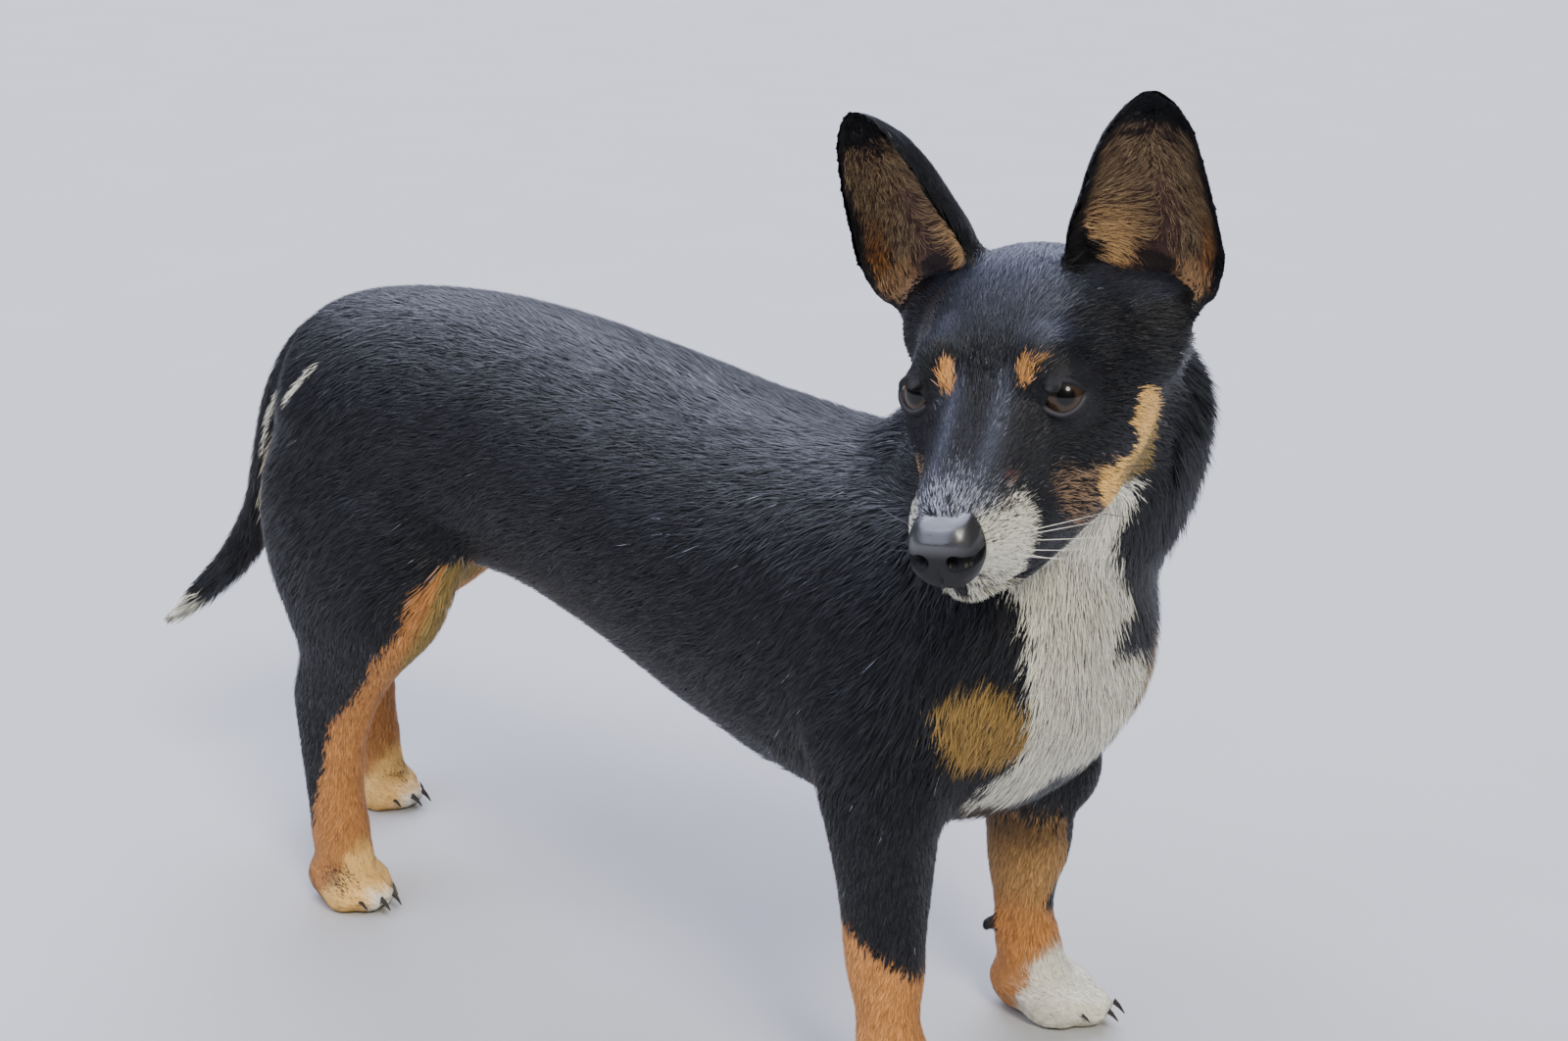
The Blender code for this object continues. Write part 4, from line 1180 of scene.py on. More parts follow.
def put(mesh, name, kind, values, domain="POINT"):
    """Writes an attribute on a mesh."""
    layer = mesh.attributes.new(name, kind, domain)
    key = {"FLOAT_COLOR": "color", "FLOAT_VECTOR": "vector", "FLOAT2": "vector"}.get(kind, "value")
    if kind == "FLOAT_COLOR":
        values = np.concatenate((values, np.ones((len(values), 1))), axis=1)
    values = np.ascontiguousarray(values, np.int32 if kind == "INT" else np.float32)
    layer.data.foreach_set(key, values.ravel())


def piece_of_each(points, local, label):
    """The coat piece that each point belongs to, as a place in PIECES."""
    x, z, hx, hz = points[:, 0], points[:, 2], local[:, 0], local[:, 2]
    piece = np.full(len(points), PIECES.index("flank_coat"))
    piece[x > 0.075] = PIECES.index("shoulder_coat")
    piece[(x > 0.212) & (z < 0.30)] = PIECES.index("chest_coat")
    piece[x < -0.075] = PIECES.index("rump_coat")
    piece[in_parts(label, "neck") & ~((x > 0.235) & (z < 0.30))] = PIECES.index("neck_coat")
    fore = in_parts(label, "leg_front_left", "leg_front_right") & (z < 0.19)
    piece[fore] = PIECES.index("foreleg_coat")
    hind = in_parts(label, "leg_hind_left", "leg_hind_right") & (z < 0.22)
    piece[hind] = PIECES.index("hindleg_coat")
    piece[in_parts(label, "tail")] = PIECES.index("tail_coat")
    head = in_parts(label, "head")
    piece[head] = PIECES.index("crown_coat")
    piece[head & (hz < -0.012 + 0.2 * hx)] = PIECES.index("cheek_coat")
    piece[head & (hz >= -0.012 + 0.2 * hx) & (hx > -0.024)] = PIECES.index("brow_coat")
    piece[head & (hx > 0.019)] = PIECES.index("muzzle_coat")
    piece[in_parts(label, "ear_left", "ear_right")] = PIECES.index("ear_coat")
    return piece


def unwrap(corners, directions, labels, pieces):
    """Lays the skin out flat, piece by piece: islands by part and by side, packed in rows in a square."""
    count = len(labels)
    planes = ((1, 2), (1, 2), (0, 2), (0, 2), (0, 1), (0, 1))
    flat = np.empty((count, 3, 2))
    for k, (a, b) in enumerate(planes):
        chosen = directions == k
        flat[chosen] = corners[chosen][:, :, (a, b)]
    island = labels * 6 + directions
    for piece in range(len(PIECES)):
        here = np.nonzero(pieces == piece)[0]
        names = np.unique(island[here])
        boxes = []
        for name in names:
            chosen = here[island[here] == name]
            low, high = flat[chosen].min(axis=(0, 1)), flat[chosen].max(axis=(0, 1))
            boxes.append((high[1] - low[1], high[0] - low[0], low, chosen))
        boxes.sort(key=lambda box: -box[0])
        total = sum(box[0] * box[1] for box in boxes)
        best = None
        for stretch in np.linspace(0.9, 1.8, 10):
            width, across, base, tall, places = math.sqrt(total) * stretch, 0.0, 0.0, 0.0, []
            for high, wide, low, chosen in boxes:
                if across > 0 and across + wide > width:
                    base, across, tall = base + tall, 0.0, 0.0
                places.append((across, base))
                across, tall = across + wide, max(tall, high)
                width = max(width, wide)
            size = max(width, base + tall)
            if best is None or size < best[0]:
                best = (size, places)
        for (across, base), (high, wide, low, chosen) in zip(best[1], boxes):
            flat[chosen] = (flat[chosen] - low + (across, base)) / best[0] * 0.98 + 0.01
    return flat


def blade(name, steps):
    """A flat tapered tuft, one unit long and one wide, that lies along +Y."""
    bm = bmesh.new()
    along = bm.verts.layers.float.new("along")
    side = bm.verts.layers.float.new("side")
    rows = []
    for k in range(steps):
        t = k / steps
        half = 0.5 * (1 - t ** 2.2) if k else 0.42
        row = []
        for way in (-1, 1):
            vertex = bm.verts.new((way * half, t, 0))
            vertex[along], vertex[side] = t, way
            row.append(vertex)
        rows.append(row)
    tip = bm.verts.new((0, 1, 0))
    tip[along], tip[side] = 1.0, 0.0
    for low, high in zip(rows[:-1], rows[1:]):
        bm.faces.new((low[0], low[1], high[1], high[0]))
    bm.faces.new((rows[-1][0], rows[-1][1], tip))
    bmesh.ops.triangulate(bm, faces=[face for face in bm.faces if len(face.verts) > 3])
    return object_of(name, mesh_of(bm, name))


def coat_tree():
    """Tufts over one piece of the skin: scattered, laid along the hair's lie and bent to the body."""
    tree = bpy.data.node_groups.new("coat", "GeometryNodeTree")
    inputs = (
        ("Skin", "Geometry"), ("Piece", "Int"), ("Thickness", "Float"), ("Seed", "Int"), ("Tuft", "Object"),
        ("Finish", "Material"),
    )
    for name, kind in inputs:
        tree.interface.new_socket(name, in_out="INPUT", socket_type="NodeSocket" + kind)
    tree.interface.new_socket("Coat", in_out="OUTPUT", socket_type="NodeSocketGeometry")
    sheet = Sheet(tree)
    given = sheet.node("NodeGroupInput")
    take = {name: Wire(sheet, sheet.pick(given.outputs, name)) for name, _ in inputs}

    def read(name, kind="FLOAT"):
        return sheet.get("GeometryNodeInputNamedAttribute", {"data_type": kind}, {"Name": name}, "Attribute")

    def store(geometry, name, kind, value, domain="POINT"):
        return sheet.get("GeometryNodeStoreNamedAttribute", {"data_type": kind, "domain": domain},
                         {"Geometry": geometry, "Name": name, "Value": value}, "Geometry")

    def chance(low, high, number):
        return sheet.get("FunctionNodeRandomValue", {"data_type": "FLOAT"},
                         {"Min": low, "Max": high, "Seed": take["Seed"] + number}, "Value")

    here = sheet.get("FunctionNodeCompare", {"data_type": "INT", "operation": "EQUAL"},
                     {"A": read("piece", "INT"), "B": take["Piece"]}, "Result")
    scatter = sheet.get("GeometryNodeDistributePointsOnFaces", {"distribute_method": "RANDOM"},
                        {"Mesh": take["Skin"], "Selection": here, "Density": read("full") * take["Thickness"],
                         "Seed": take["Seed"]}, "Points")
    roots = store(scatter, "root", "FLOAT_VECTOR", sheet.get("GeometryNodeInputPosition"))
    roots = store(roots, "tuft_random", "FLOAT", chance(0.0, 1.0, 1))
    roots = store(roots, "lifted", "FLOAT", chance(0.45, 1.25, 2))
    roots = store(roots, "catch", "FLOAT", chance(-0.22, 0.22, 7))
    lighter = chance(0.0, 1.0, 3) < read("share")
    colour = sheet.mix("RGBA", lighter, read("dark", "FLOAT_COLOR"), read("light", "FLOAT_COLOR"))
    roots = store(roots, "tuft_colour", "FLOAT_COLOR", colour)
    normal = sheet.vector("NORMALIZE", read("skin_normal", "FLOAT_VECTOR"))
    lie = sheet.vector("NORMALIZE", read("lie", "FLOAT_VECTOR"))
    across = sheet.vector("CROSS_PRODUCT", lie, normal)
    roots = store(roots, "across", "FLOAT_VECTOR", across)
    roots = store(roots, "ripple", "FLOAT", read("streak"))
    swayed = sheet.vector("ADD", lie, sheet.vector("SCALE", across, scale=chance(-0.26, 0.26, 4)))
    rolled = sheet.vector("ADD", normal, sheet.vector("SCALE", across, scale=chance(-0.5, 0.5, 5)))
    turn = sheet.get("FunctionNodeAxesToRotation", {"primary_axis": "Y", "secondary_axis": "Z"},
                     {"Primary Axis": swayed, "Secondary Axis": rolled})
    stray = lighter * (read("share") < 0.3)
    width = read("wide") * chance(0.7, 1.3, 6) * (1.0 - stray * 0.5)
    size = sheet.combine(width, read("long") * chance(0.62, 1.20, 8), 1.0)
    tuft = sheet.get("GeometryNodeObjectInfo", {"transform_space": "ORIGINAL"},
                     {"Object": take["Tuft"]}, "Geometry")
    tufts = sheet.get("GeometryNodeInstanceOnPoints", None,
                      {"Points": roots, "Instance": tuft, "Rotation": turn, "Scale": size}, "Instances")
    hair = sheet.get("GeometryNodeRealizeInstances", None, {"Geometry": tufts}, "Geometry")

    place = sheet.get("GeometryNodeInputPosition")
    outwards = read("skin_normal", "FLOAT_VECTOR")
    near_place, near_normal = (
        sheet.get("GeometryNodeSampleNearestSurface", {"data_type": "FLOAT_VECTOR"},
                  {"Mesh": take["Skin"], "Value": value, "Sample Position": place}, "Value")
        for value in (place, outwards)
    )
    along = read("along")
    height = read("rise") * read("lifted") * along ** 0.8 - 0.0004
    clung = sheet.vector("ADD", near_place, sheet.vector("SCALE", near_normal, scale=height))
    loose = sheet.vector("ADD", place, sheet.vector("SCALE", outwards, scale=height))
    droop = sheet.combine(0.0, 0.0, read("long") * along * along * -0.10)
    loose = sheet.vector("ADD", loose, droop)
    laid = sheet.mix("VECTOR", read("cling"), loose, clung)
    parts = sheet.node("ShaderNodeSeparateXYZ", None, {"Vector": laid})
    x, y, z = (Wire(sheet, socket) for socket in parts.outputs)
    laid = sheet.combine(x, y, sheet.math("MAXIMUM", z, 0.0006))
    hair = sheet.get("GeometryNodeSetPosition", None, {"Geometry": hair, "Position": laid}, "Geometry")

    tilt = read("side") * 0.75 + read("catch") + read("ripple")
    round_off = sheet.vector("SCALE", read("across", "FLOAT_VECTOR"), scale=tilt)
    back = sheet.vector("SCALE", read("lie", "FLOAT_VECTOR"), scale=read("catch") * 1.2 - 0.10)
    facing = sheet.vector("ADD", sheet.vector("NORMALIZE", outwards), round_off)
    facing = sheet.vector("NORMALIZE", sheet.vector("ADD", facing, back))
    hair = store(hair, "hair_normal", "FLOAT_VECTOR", facing)
    home = sheet.node("ShaderNodeSeparateXYZ", None, {"Vector": read("skin_place", "FLOAT_VECTOR")})
    u, v = (Wire(sheet, socket) for socket in home.outputs[:2])
    patch = sheet.combine(u + read("side") * 0.0015, v + along * 0.003 - 0.0015, 0.0)
    hair = store(hair, "OFBake", "FLOAT2", patch, "CORNER")
    hair = sheet.get("GeometryNodeSetMaterial", None,
                     {"Geometry": hair, "Material": take["Finish"]}, "Geometry")
    sheet.node("NodeGroupOutput", None, {"Coat": hair})
    return tree


def grow_coat(skin, piece, tree, tuft, finish, thickness):
    """One piece of the coat as a plain mesh."""
    name = PIECES[piece]
    carrier = object_of(name, skin)
    modifier = carrier.modifiers.new("coat", "NODES")
    modifier.node_group = tree
    sockets = {item.name: item.identifier for item in tree.interface.items_tree if item.in_out == "INPUT"}
    given = {"Piece": piece, "Thickness": thickness, "Seed": 40 + piece * 20, "Tuft": tuft, "Finish": finish}
    for key, value in given.items():
        modifier[sockets[key]] = value
    graph = bpy.context.evaluated_depsgraph_get()
    mesh = bpy.data.meshes.new_from_object(carrier.evaluated_get(graph))
    bpy.data.objects.remove(carrier)
    kept = {"hair_normal", "OFBake", "tuft_colour", "tuft_random", "along", "side"}
    names = [layer.name for layer in mesh.attributes if not layer.is_internal and not layer.is_required]
    for spent in set(names) - kept:
        mesh.attributes.remove(mesh.attributes[spent])
    mesh.materials.clear()
    mesh.materials.append(finish)
    mesh.name = name
    return object_of(name, mesh)


# ---------------------------------------------------------------- finishes

def coat_finish():
    """Hair: each tuft a little darker or lighter, darker at its root as painted shade, with fine strands
    along it.
    """
    sheet = Finish("coat_hair")
    chance, along, side = (sheet.read(name) for name in ("tuft_random", "along", "side"))
    spot = sheet.combine(side * 2.6 + chance * 43.0, along * 1.3 + chance * 17.0, chance * 9.0)
    strands = sheet.noise(spot, 1.6, 2.0, 0.6)
    # painted shade: each tuft darkens towards its root
    tone = (0.68 + chance * 0.80) * (0.62 + along * 0.55) * (0.50 + strands)
    own = sheet.read("tuft_colour", "Color")
    pale = sheet.math("MINIMUM", sheet.part(own, 1) * 2.4, 0.85)
    gloss = sheet.math("MINIMUM", (0.20 + chance * 0.80) * (0.35 + strands * 0.95) * (1.0 - pale), 1.0)
    height = strands * 0.6 + (1.0 - side * side) * 0.4
    hair = {
        "Base Color": sheet.toned(own, tone),
        "Normal": sheet.bump(height, 0.35, 0.0004, Normal=sheet.read("hair_normal", "Vector")),
        "Sheen Weight": 0.04, "Sheen Roughness": 0.4, "Sheen Tint": (0.80, 0.86, 1.0, 1.0),
    }
    rough = 0.30 + strands * 0.14 + chance * 0.12
    dull = sheet.shader({**hair, "Roughness": rough, "Specular IOR Level": 0.14})
    glossy = sheet.shader({**hair, "Roughness": rough - 0.09, "Specular IOR Level": 0.66})
    return sheet.closed(sheet.get("ShaderNodeMixShader", None, {0: gloss, 1: dull, 2: glossy}))


def skin_finish():
    """The skin under the hair: the coat's own colours, darker as painted shade under the hair, and fine
    creases.
    """
    sheet = Finish("skin_under_hair")
    place = sheet.place()
    grain, patches = sheet.noise(place, 900.0, 4.0, 0.6), sheet.noise(place, 120.0, 3.0)
    tone = 0.62 + grain * 0.42 + patches * 0.34
    return sheet.closed(sheet.shader({
        "Base Color": sheet.toned(sheet.read("skin_colour", "Color"), tone),
        "Roughness": 0.62 - sheet.read("moist") * 0.34 + grain * 0.10,
        "Normal": sheet.bump(grain, 0.5, 0.0004),
        "Specular IOR Level": 0.4,
    }))


# ---------------------------------------------------------------- eyes, nose, whiskers and claws

GAZE = {"eye_left": (0.79, 0.47, 0.42), "eye_right": (0.92, -0.08, 0.40)}  # where each eye looks, in the head
IRIS_EDGE, PUPIL_EDGE = math.radians(52), math.radians(18)
# the comma of the left nostril from its round end, the groove below the nose, and the way the nostril opens
NOSTRIL = (
    (0.0768, 0.0075, -0.0300), (0.0740, 0.0115, -0.0305), (0.0695, 0.0148, -0.0305),
    (0.0655, 0.0158, -0.0300),
)
PHILTRUM = (
    (0.0790, 0.0, -0.0320), (0.0785, 0.0, -0.0370), (0.0770, 0.0, -0.0420), (0.0740, 0.0, -0.0455),
)
NOSTRIL_IN = np.array((0.86, 0.46, -0.22))


def build_eye(name):
    """An eyeball with a raised clear front; `ring` grows from its middle and `spoke` goes round it."""
    side = 1 if name == "eye_left" else -1
    centre = on_side(EYE_AT, side)
    ahead = unit(np.array(GAZE[name]))
    across = unit(np.cross((0, 0, 1.0), ahead))
    up = np.cross(ahead, across)
    rings, spokes = 44, 56
    bm = bmesh.new()
    ring_layer, spoke_layer = (bm.verts.layers.float.new(key) for key in ("ring", "spoke"))
    rows = []
    for k in range(rings + 1):
        angle = math.pi * (k / rings) ** 1.25
        radius = EYE_RADIUS - 0.00015 + 0.0005 * max(0.0, 1 - (angle / 0.95) ** 2) ** 1.5
        row = []
        for j in range(spokes if 0 < k < rings else 1):
            turn = 2 * math.pi * j / spokes
            way = ahead * math.cos(angle) + (across * math.cos(turn) + up * math.sin(turn)) * math.sin(angle)
            vertex = bm.verts.new(out_of_head(centre + way * radius))
            vertex[ring_layer], vertex[spoke_layer] = angle / IRIS_EDGE, turn
            row.append(vertex)
        rows.append(row)
    for low, high in zip(rows[:-1], rows[1:]):
        for j in range(spokes):
            corners = [row[k % len(row)] for row, k in ((low, j), (high, j), (high, j + 1), (low, j + 1))]
            bm.faces.new(list(dict.fromkeys(corners)))
    bmesh.ops.recalc_face_normals(bm, faces=bm.faces)
    mesh = mesh_of(bm, name + "_ball")
    mesh.shade_smooth()
    return object_of(name + "_ball", mesh)


def eye_finish():
    """A dark pupil, a brown iris with fibres, and a clear wet coat."""
    sheet = Finish("wet_brown_eye")
    ring, spoke = sheet.read("ring"), sheet.read("spoke")
    wheel = sheet.combine(sheet.math("COSINE", spoke) * 3.0, sheet.math("SINE", spoke) * 3.0, ring * 0.7)
    fibres = sheet.noise(wheel, 7.0, 4.0, 0.7)
    place = ring + (fibres - 0.5) * 0.06
    pupil = PUPIL_EDGE / IRIS_EDGE
    stops = [(0.0, shade(6, 5, 5)), (1.0, shade(30, 20, 18)), (pupil * 0.80, shade(7, 6, 5)),
             (pupil * 0.88, shade(34, 26, 18)), (0.40, shade(74, 56, 36)), (0.62, shade(70, 50, 32)),
             (0.72, shade(40, 27, 20)), (0.79, shade(14, 9, 9)), (0.90, shade(26, 17, 16))]
    iris = sheet.get("ShaderNodeValToRGB", {"stops": stops}, {"Fac": place * 0.80}, "Color")
    return sheet.closed(sheet.shader({
        "Base Color": sheet.toned(iris, 0.32 + fibres * 0.66), "Roughness": 0.35, "Specular IOR Level": 0.1,
        "Coat Weight": 1.0, "Coat Roughness": 0.02, "Coat IOR": 1.36,
    }))


def build_nose():
    """The nose leather: rounded from the solid, with comma-shaped nostrils and a groove down the middle."""
    bm = bmesh.new()
    bm.from_mesh(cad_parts["nose"].data)
    bmesh.ops.remove_doubles(bm, verts=bm.verts, dist=1e-5)
    block = object_of("block", mesh_of(bm, "nose"))
    mesh = with_modifier(block, "REMESH", {"mode": "VOXEL", "voxel_size": 0.00048, "adaptivity": 0})
    bpy.data.objects.remove(block)
    points, edges = mesh_arrays(mesh)
    points = relax(points, edges, 36, 0.5)
    place_points(mesh, points)
    local, normals = into_head(points), mesh_normals(mesh) @ HEAD_TURN
    local = local + normals * 0.0004
    x, y, z = local.T
    wing = bell(np.abs(y), 0.0100, 0.0045) * bell(z, -0.0345, 0.0040) * ease(0.062, 0.070, x)
    local = local + normals * (wing * 0.0008)[:, None]
    over = (x - 0.0772) * 0.63 + (z + 0.0216) * 0.777
    flat = np.clip(over, 0, None) * ease(0.0150, 0.0070, np.abs(y)) * 0.25
    local = local - ways(flat * 0.63, 0.0, flat * 0.777)
    crest = bell(z, -0.0222, 0.0020) * ease(0.070, 0.075, x) * ease(0.013, 0.009, np.abs(y))
    local = local + ways(crest * 0.0002, 0.0, crest * 0.0002)
    buried = ease(-0.0175, -0.0120, z)
    local = local - normals * (buried * 0.0022)[:, None]
    hole = np.zeros(len(local))
    for side in (1, -1):
        away, place = along_path(on_side(local, side), NOSTRIL)
        width = 0.0027 * (1 - 0.62 * place) + 0.0002
        deep = 0.0036 * (1 - place) ** 0.8 + 0.0005
        local = local - on_side(NOSTRIL_IN, side) * (deep * np.exp(-((away / width) ** 4)))[:, None]
        hole = np.maximum(hole, np.exp(-((away / (width * 1.15)) ** 4)))
    groove = bell(along_path(local, PHILTRUM)[0], 0.0, 0.0008)
    local = local - normals * (0.0010 * groove)[:, None]
    place_points(mesh, out_of_head(local))
    put(mesh, "hole", "FLOAT", hole)
    put(mesh, "bright", "FLOAT", ease(-0.0290, -0.0215, local[:, 2]) * (1 - hole))
    mesh.shade_smooth()
    return object_of("nose_leather", mesh)


def nose_finish():
    """Near-black leather of small pebbles, moist on top, dull in the nostrils and darkened there as painted
    shade.
    """
    sheet = Finish("pebbled_nose_leather")
    place = sheet.place()
    gap = sheet.get("ShaderNodeTexVoronoi", {"feature": "DISTANCE_TO_EDGE"},
                    {"Vector": place, "Scale": 1050.0}, "Distance")
    cells = sheet.get("ShaderNodeTexVoronoi", {"feature": "F1"}, {"Vector": place, "Scale": 1050.0}, "Color")
    grain = sheet.noise(place, 2600.0, 3.0)
    hole, bright = sheet.read("hole"), sheet.read("bright")
    raised = sheet.math("MINIMUM", gap * 3.2, 1.0)
    # painted shade: the nostrils are darkened
    tone = (0.55 + raised * 0.55 + sheet.part(cells, 0) * 0.25) * (1.0 - hole * 0.92)
    return sheet.closed(sheet.shader({
        "Base Color": sheet.toned((*shade(12, 11, 12), 1), tone),
        "Roughness": 0.36 + grain * 0.14 + hole * 0.4,
        "Normal": sheet.bump(raised * 0.8 + grain * 0.2, 0.75, 0.00030),
        "Specular IOR Level": 0.14,
        "Coat Weight": 0.16 + bright * 0.84 - hole * 0.15, "Coat Roughness": 0.36, "Coat IOR": 2.0,
    }))


# root in the head, the way it leaves the skin, the way it bends, and its length, in millimetres
WHISKERS = (
    ((45, 20.5, -35), (-0.35, 0.92, 0.06), (-0.8, 0.0, -0.35), 34),
    ((40, 21.5, -39), (-0.40, 0.90, 0.00), (-0.8, 0.0, -0.45), 37),
    ((47, 19.0, -41), (-0.20, 0.95, -0.15), (-0.8, 0.0, -0.30), 30),
    ((37, 22.0, -43), (-0.40, 0.88, -0.20), (-0.8, 0.0, -0.40), 32),
    ((43, 20.0, -46), (-0.20, 0.90, -0.35), (-0.8, 0.0, -0.20), 26),
    ((51, 17.0, -40), (0.10, 0.95, -0.10), (-0.9, 0.0, -0.2), 24),
)
DARK_WHISKERS = (
    ((2, 33, -49), (-0.35, 0.80, -0.35), (-0.6, 0.0, -0.5), 30),
    ((-18, 47, -44), (-0.55, 0.75, -0.25), (-0.6, 0.0, -0.5), 32),
    ((14, 14.5, 13), (0.35, 0.35, 0.85), (-0.8, 0.5, -0.1), 22),
    ((11, 18.0, 15), (0.25, 0.45, 0.85), (-0.8, 0.5, -0.1), 20),
    ((54, 9.0, -60), (0.40, 0.20, -0.90), (-0.6, 0.3, 0.2), 14),
    ((48, 12.0, -61), (0.20, 0.30, -0.90), (-0.6, 0.3, 0.2), 14),
)


def build_whiskers(name, rows, sides, skin, thick):
    """Tapered bristles that leave the skin and bend backwards."""
    body = BVHTree.FromPolygons([v.co for v in skin.vertices], [p.vertices for p in skin.polygons])
    bm = bmesh.new()
    steps, corners = 9, 5
    for k, (root, way, bend, length) in enumerate(rows):
        for side in sides:
            vary = 1 + 0.12 * math.sin(k * 2.4 + side)
            start = out_of_head(on_side(root, side) / 1000)
            found = body.find_nearest(Vector(start), 0.02)[0]
            if found is not None:
                start = np.array(found)
            ahead = HEAD_TURN @ unit(on_side(way, side))
            pull = HEAD_TURN @ on_side(bend, side)
            at, rings = start - ahead * 0.001, []
            for step in range(steps + 1):
                t = step / steps
                heading = unit(ahead + pull * t * 0.85 * vary)
                across = unit(np.cross(heading, (0.2, 0.1, 1.0)))
                over = np.cross(heading, across)
                radius = thick * (1 - 0.86 * t)
                ring = []
                for j in range(corners):
                    turn = 2 * math.pi * j / corners
                    ring.append(bm.verts.new(at + (across * math.cos(turn) + over * math.sin(turn)) * radius))
                rings.append(ring)
                at = at + heading * length * vary / 1000 / steps
            for low, high in zip(rings[:-1], rings[1:]):
                for j in range(corners):
                    bm.faces.new((low[j], low[(j + 1) % corners], high[(j + 1) % corners], high[j]))
            bm.faces.new(rings[-1])
            bm.faces.new(list(reversed(rings[0])))
    bmesh.ops.recalc_face_normals(bm, faces=bm.faces)
    mesh = mesh_of(bm, name)
    mesh.shade_smooth()
    return object_of(name, mesh)


def bristle_finish(name, colour, rough):
    """Whiskers: one colour, a little uneven."""
    sheet = Finish(name)
    grain = sheet.noise(sheet.place(), 420.0, 2.0)
    colour = sheet.toned((*colour, 1), 0.75 + grain * 0.5)
    return sheet.closed(sheet.shader({"Base Color": colour, "Roughness": rough + grain * 0.1}))


def claw_finish():
    """Dark horn, streaked along the claw."""
    sheet = Finish("claw_horn")
    along = sheet.get("ShaderNodeMapping", None, {"Vector": sheet.place(), "Scale": (60.0, 900.0, 900.0)})
    streaks = sheet.noise(along, 1.0, 3.0)
    return sheet.closed(sheet.shader({
        "Base Color": sheet.toned((*shade(52, 46, 42), 1), 0.4 + streaks * 1.3),
        "Roughness": 0.30 + streaks * 0.15,
        "Normal": sheet.bump(streaks, 0.3, 0.0002),
    }))


# ---------------------------------------------------------------- putting it together

def bare_skin(pattern, local, ears, lips, nose):
    """The colour of the skin under the hair, darkened as painted shade, with painted shade in the ear canals
    and a painted highlight on the lower lids, and how moist it is.
    """
    colour = blend(pattern.dark, pattern.light, pattern.share)
    # painted shade: the skin is darker than the hair that grows from it
    colour = colour * (0.70 + 0.25 * np.clip(colour.mean(axis=1) * 2, 0, 1))[:, None]
    colour = blend(colour, EAR_SKIN, ears["bare"])
    # painted shade in the opening of the ear canal
    colour = colour * (1 - ears["canal"] * 0.85)[:, None]
    moist = np.zeros(len(local))
    for side in (1, -1):
        away, reach, _, tall = lid_line(local, side)
        lid = (reach < 0.03) * ease(0.0024, 0.0012, away)
        colour = blend(colour, LID_SKIN * 0.6, lid)
        # a thin pale line on the lower lid: a painted highlight of its wet rim
        rim = lid * bell(away, 0.0003, 0.00025) * ease(-0.0005, -0.0025, tall)
        colour = blend(colour, LID_RIM_PAINTED_GLINT, rim * 0.14)
        moist = np.maximum(moist, 0.10 * (reach < 0.03) * ease(0.0012, 0.0004, away))
    lip = ease(0.0022, 0.0010, lips)
    colour = blend(blend(colour, SOOT, lip), SOOT, nose)
    return colour, np.maximum(moist, lip * 0.5)


def share_out(dense, points, local, label, full):
    """Gives each face of the skin its coat piece and its place on the flat, and counts each piece's tufts."""
    corner = np.empty(len(dense.loops), np.int32)
    dense.loops.foreach_get("vertex_index", corner)
    corner = corner.reshape(-1, 3)
    piece = piece_of_each(points, local, label)[corner[:, 0]]
    put(dense, "piece", "INT", piece, "FACE")
    corners = points[corner]
    area = np.linalg.norm(np.cross(corners[:, 1] - corners[:, 0], corners[:, 2] - corners[:, 0]), axis=1) / 2
    soft = mesh_normals(dense)[corner].mean(axis=1)
    axis = np.argmax(np.abs(soft), axis=1)
    directions = axis * 2 + (soft[np.arange(len(soft)), axis] < 0)
    flat = unwrap(corners, directions, label[corner[:, 0]], piece).reshape(-1, 2)
    put(dense, "skin_place", "FLOAT_VECTOR", ways(flat[:, 0], flat[:, 1], 0.0), "CORNER")
    return np.bincount(piece, area * full[corner].mean(axis=1), len(PIECES))


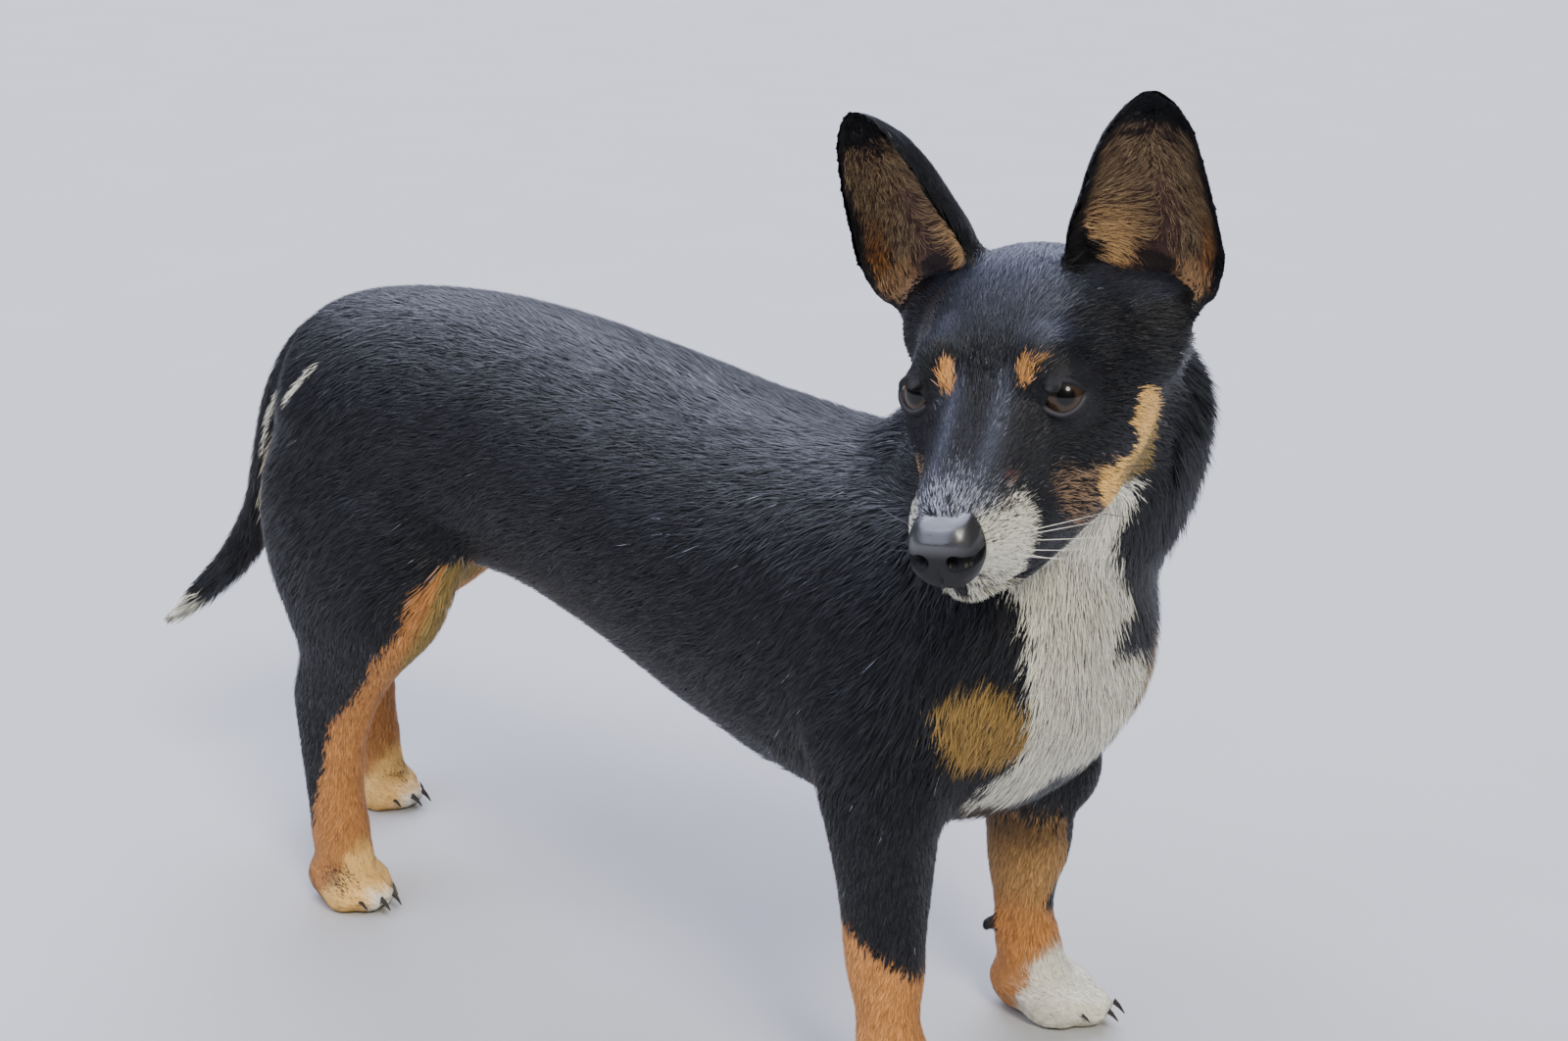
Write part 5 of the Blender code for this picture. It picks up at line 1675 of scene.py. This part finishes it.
def dress(outline):
    """Reads the whole animal, takes the coat's depth off it, and writes what the coat and the skin need."""
    points, edges = mesh_arrays(outline)
    normals = mesh_normals(outline)
    local = into_head(points)
    label = nearest_parts(points)
    ears = read_ears(local, normals, label)
    hair = hair_of_coat(points, normals, local, label, ears)
    lie = lie_of_coat(points, normals, edges, local, label, ears)
    reach = hair.long * (0.5 + 0.42 * ease(0.0090, 0.0150, hair.long))
    seen = points + lie * reach[:, None]  # a root's hair shows further on, the longer it is
    pattern = coat_pattern(seen, normals, into_head(seen), label)
    limb_pattern(pattern, seen, normals, label)
    ear_pattern(pattern, seen, ears)

    depth = relax(hair.rise[:, None] * 0.9 + 0.0003, edges, 6, 0.5)[:, 0]
    depth = depth + (0.0004 - depth) * ears["any"] * ease(0.0, 0.12, ears["up"])
    for side in (1, -1):
        away, reach = lid_line(local, side)[:2]
        depth = depth * (1 - (reach < 0.026) * ease(0.0045, 0.0015, away))
        hair.full = hair.full * (1 - (reach < 0.03) * ease(0.0026, 0.0014, away))
    lips = np.minimum(*(along_path(on_side(local, side), LIP)[0] for side in (1, -1)))
    hair.full = hair.full * ease(0.0006, 0.0022, lips)
    nose = ellipsoid(local, (0.0690, 0, -0.0295), (0.0150, 0.0175, 0.0175), 0.12)
    nose = nose * ease(-0.0165, -0.0188, local[:, 2] + drift(points, 0.003, 31) * 0.0006)
    depth = depth + nose * 0.0042
    hair.full = hair.full * (1 - nose)
    points = points - normals * depth[:, None]
    points[:, 2] = np.maximum(points[:, 2], 0.0004)
    place_points(outline, points)

    colour, moist = bare_skin(pattern, local, ears, lips, nose)
    put(outline, "skin_colour", "FLOAT_COLOR", colour)
    put(outline, "moist", "FLOAT", moist)
    step = np.abs(pattern.share[edges[:, 0]] - pattern.share[edges[:, 1]])
    border = np.bincount(edges.ravel(), np.repeat(step, 2), len(points))
    head = ease(0.115, 0.080, np.linalg.norm(local - (-0.015, 0, 0.015), axis=1))
    skin = thin_out(outline, np.clip(np.maximum(ease(0.2, 0.8, border), head * 0.8), 0, 1))

    put(outline, "skin_normal", "FLOAT_VECTOR", mesh_normals(outline))
    put(outline, "dark", "FLOAT_COLOR", pattern.dark)
    put(outline, "light", "FLOAT_COLOR", pattern.light)
    put(outline, "lie", "FLOAT_VECTOR", lie)
    put(outline, "share", "FLOAT", pattern.share)
    across_hair = points - lie * (points * lie).sum(axis=1, keepdims=True) * 0.75
    streak = drift(across_hair, 0.0042, 21) * 0.34 + drift(across_hair, 0.0110, 22) * 0.24
    put(outline, "streak", "FLOAT", streak * (1 - 0.5 * in_parts(label, "head")))
    for key in ("long", "wide", "rise", "cling", "full"):
        put(outline, key, "FLOAT", getattr(hair, key))
    return skin, outline, share_out(outline, points, local, label, hair.full)


# towards each soft sun, its strength, its spread in degrees and its colour
SUNS = (
    ((-0.32, 0.12, 1.00), 3.1, 66, (0.76, 0.80, 1.0)),
    ((-0.42, -0.64, 0.75), 2.1, 52, (0.72, 0.77, 1.0)),
    ((0.90, -0.60, 1.10), 2.5, 20, (1.0, 0.95, 0.84)),
    ((-0.45, 0.68, 0.72), 3.3, 50, (0.72, 0.77, 1.0)),
)
SKY, SKY_STRENGTH = (0.74, 0.78, 0.90, 1), 0.12
FLOOR_SIZE = 60


def floor_finish():
    sheet = Finish("pale_floor")
    tone = 0.47 + sheet.noise(sheet.place(), 6.0, 4.0) * 0.05
    colour = sheet.combine(tone, tone, tone * 0.985)
    return sheet.closed(sheet.shader({"Base Color": colour, "Roughness": 0.85}))


def studio():
    """A pale floor, soft suns and a dim sky."""
    bpy.ops.mesh.primitive_plane_add(size=FLOOR_SIZE)
    floor = bpy.context.object
    floor.name = "floor"
    floor.data.materials.append(floor_finish())
    for way, strength, spread, colour in SUNS:
        lamp = bpy.data.lights.new("softbox", "SUN")
        lamp.energy, lamp.angle, lamp.color = strength, math.radians(spread), colour
        stand = object_of("softbox", lamp)
        stand.location = Vector(way) * 2
        stand.rotation_euler = (-Vector(way)).to_track_quat("-Z", "Y").to_euler()
    world = bpy.data.worlds.new("studio")
    bpy.context.scene.world = world
    world.use_nodes = True
    background = world.node_tree.nodes["Background"]
    background.inputs["Color"].default_value = SKY
    background.inputs["Strength"].default_value = SKY_STRENGTH


# rows of WHISKERS or DARK_WHISKERS, the sides they grow on, their colour and their thickness at the root
BRISTLES = {
    "white_whiskers": (WHISKERS, (1,), WHITE, 0.00022),
    "dark_whiskers": (DARK_WHISKERS, (1, -1), SOOT, 0.00018),
    "far_whiskers": (WHISKERS, (-1,), shade(60, 58, 60), 0.00018),
}
LONG_TUFTS = ("chest_coat", "tail_coat")  # pieces whose tufts have more faces, so that they bend
FEWER_LONG = 0.45  # of the tufts that short ones would be


def main():
    set_camera()
    skin_mesh, dense, tufts = dress(build_outline())
    skin_mesh.shade_smooth()
    skin = object_of("skin", skin_mesh)
    skin_mesh.materials.clear()
    skin_mesh.materials.append(skin_finish())
    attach(skin, "root")
    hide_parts(*FLESH)

    eye = eye_finish()
    for name in ("eye_left", "eye_right"):
        ball = build_eye(name)
        ball.data.materials.append(eye)
        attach(ball, "root")
        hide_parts(name)
    nose = build_nose()
    nose.data.materials.clear()
    nose.data.materials.append(nose_finish())
    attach(nose, "root")
    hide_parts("nose")
    for name, (rows, sides, colour, thick) in BRISTLES.items():
        bristles = build_whiskers(name, rows, sides, skin_mesh, thick)
        bristles.data.materials.append(bristle_finish(name, colour, 0.35))
        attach(bristles, "root")
    horn = claw_finish()
    for name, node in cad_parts.items():
        if name.startswith("claw"):
            node.material_slots[0].material = horn

    thickness = np.minimum(1.0, MAX_TUFTS / np.maximum(tufts, 1))
    thickness = thickness * min(1.0, MAX_TUFTS_IN_ALL / (tufts * thickness).sum())
    tree = coat_tree()
    short, long = blade("short_tuft", 2), blade("long_tuft", 4)
    hair = coat_finish()
    for piece, name in enumerate(PIECES):
        tuft, share = (long, FEWER_LONG) if name in LONG_TUFTS else (short, 1.0)
        coat = grow_coat(dense, piece, tree, tuft, hair, thickness[piece] * share)
        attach(coat, "root")
    bpy.data.objects.remove(short)
    bpy.data.objects.remove(long)
    studio()


main()
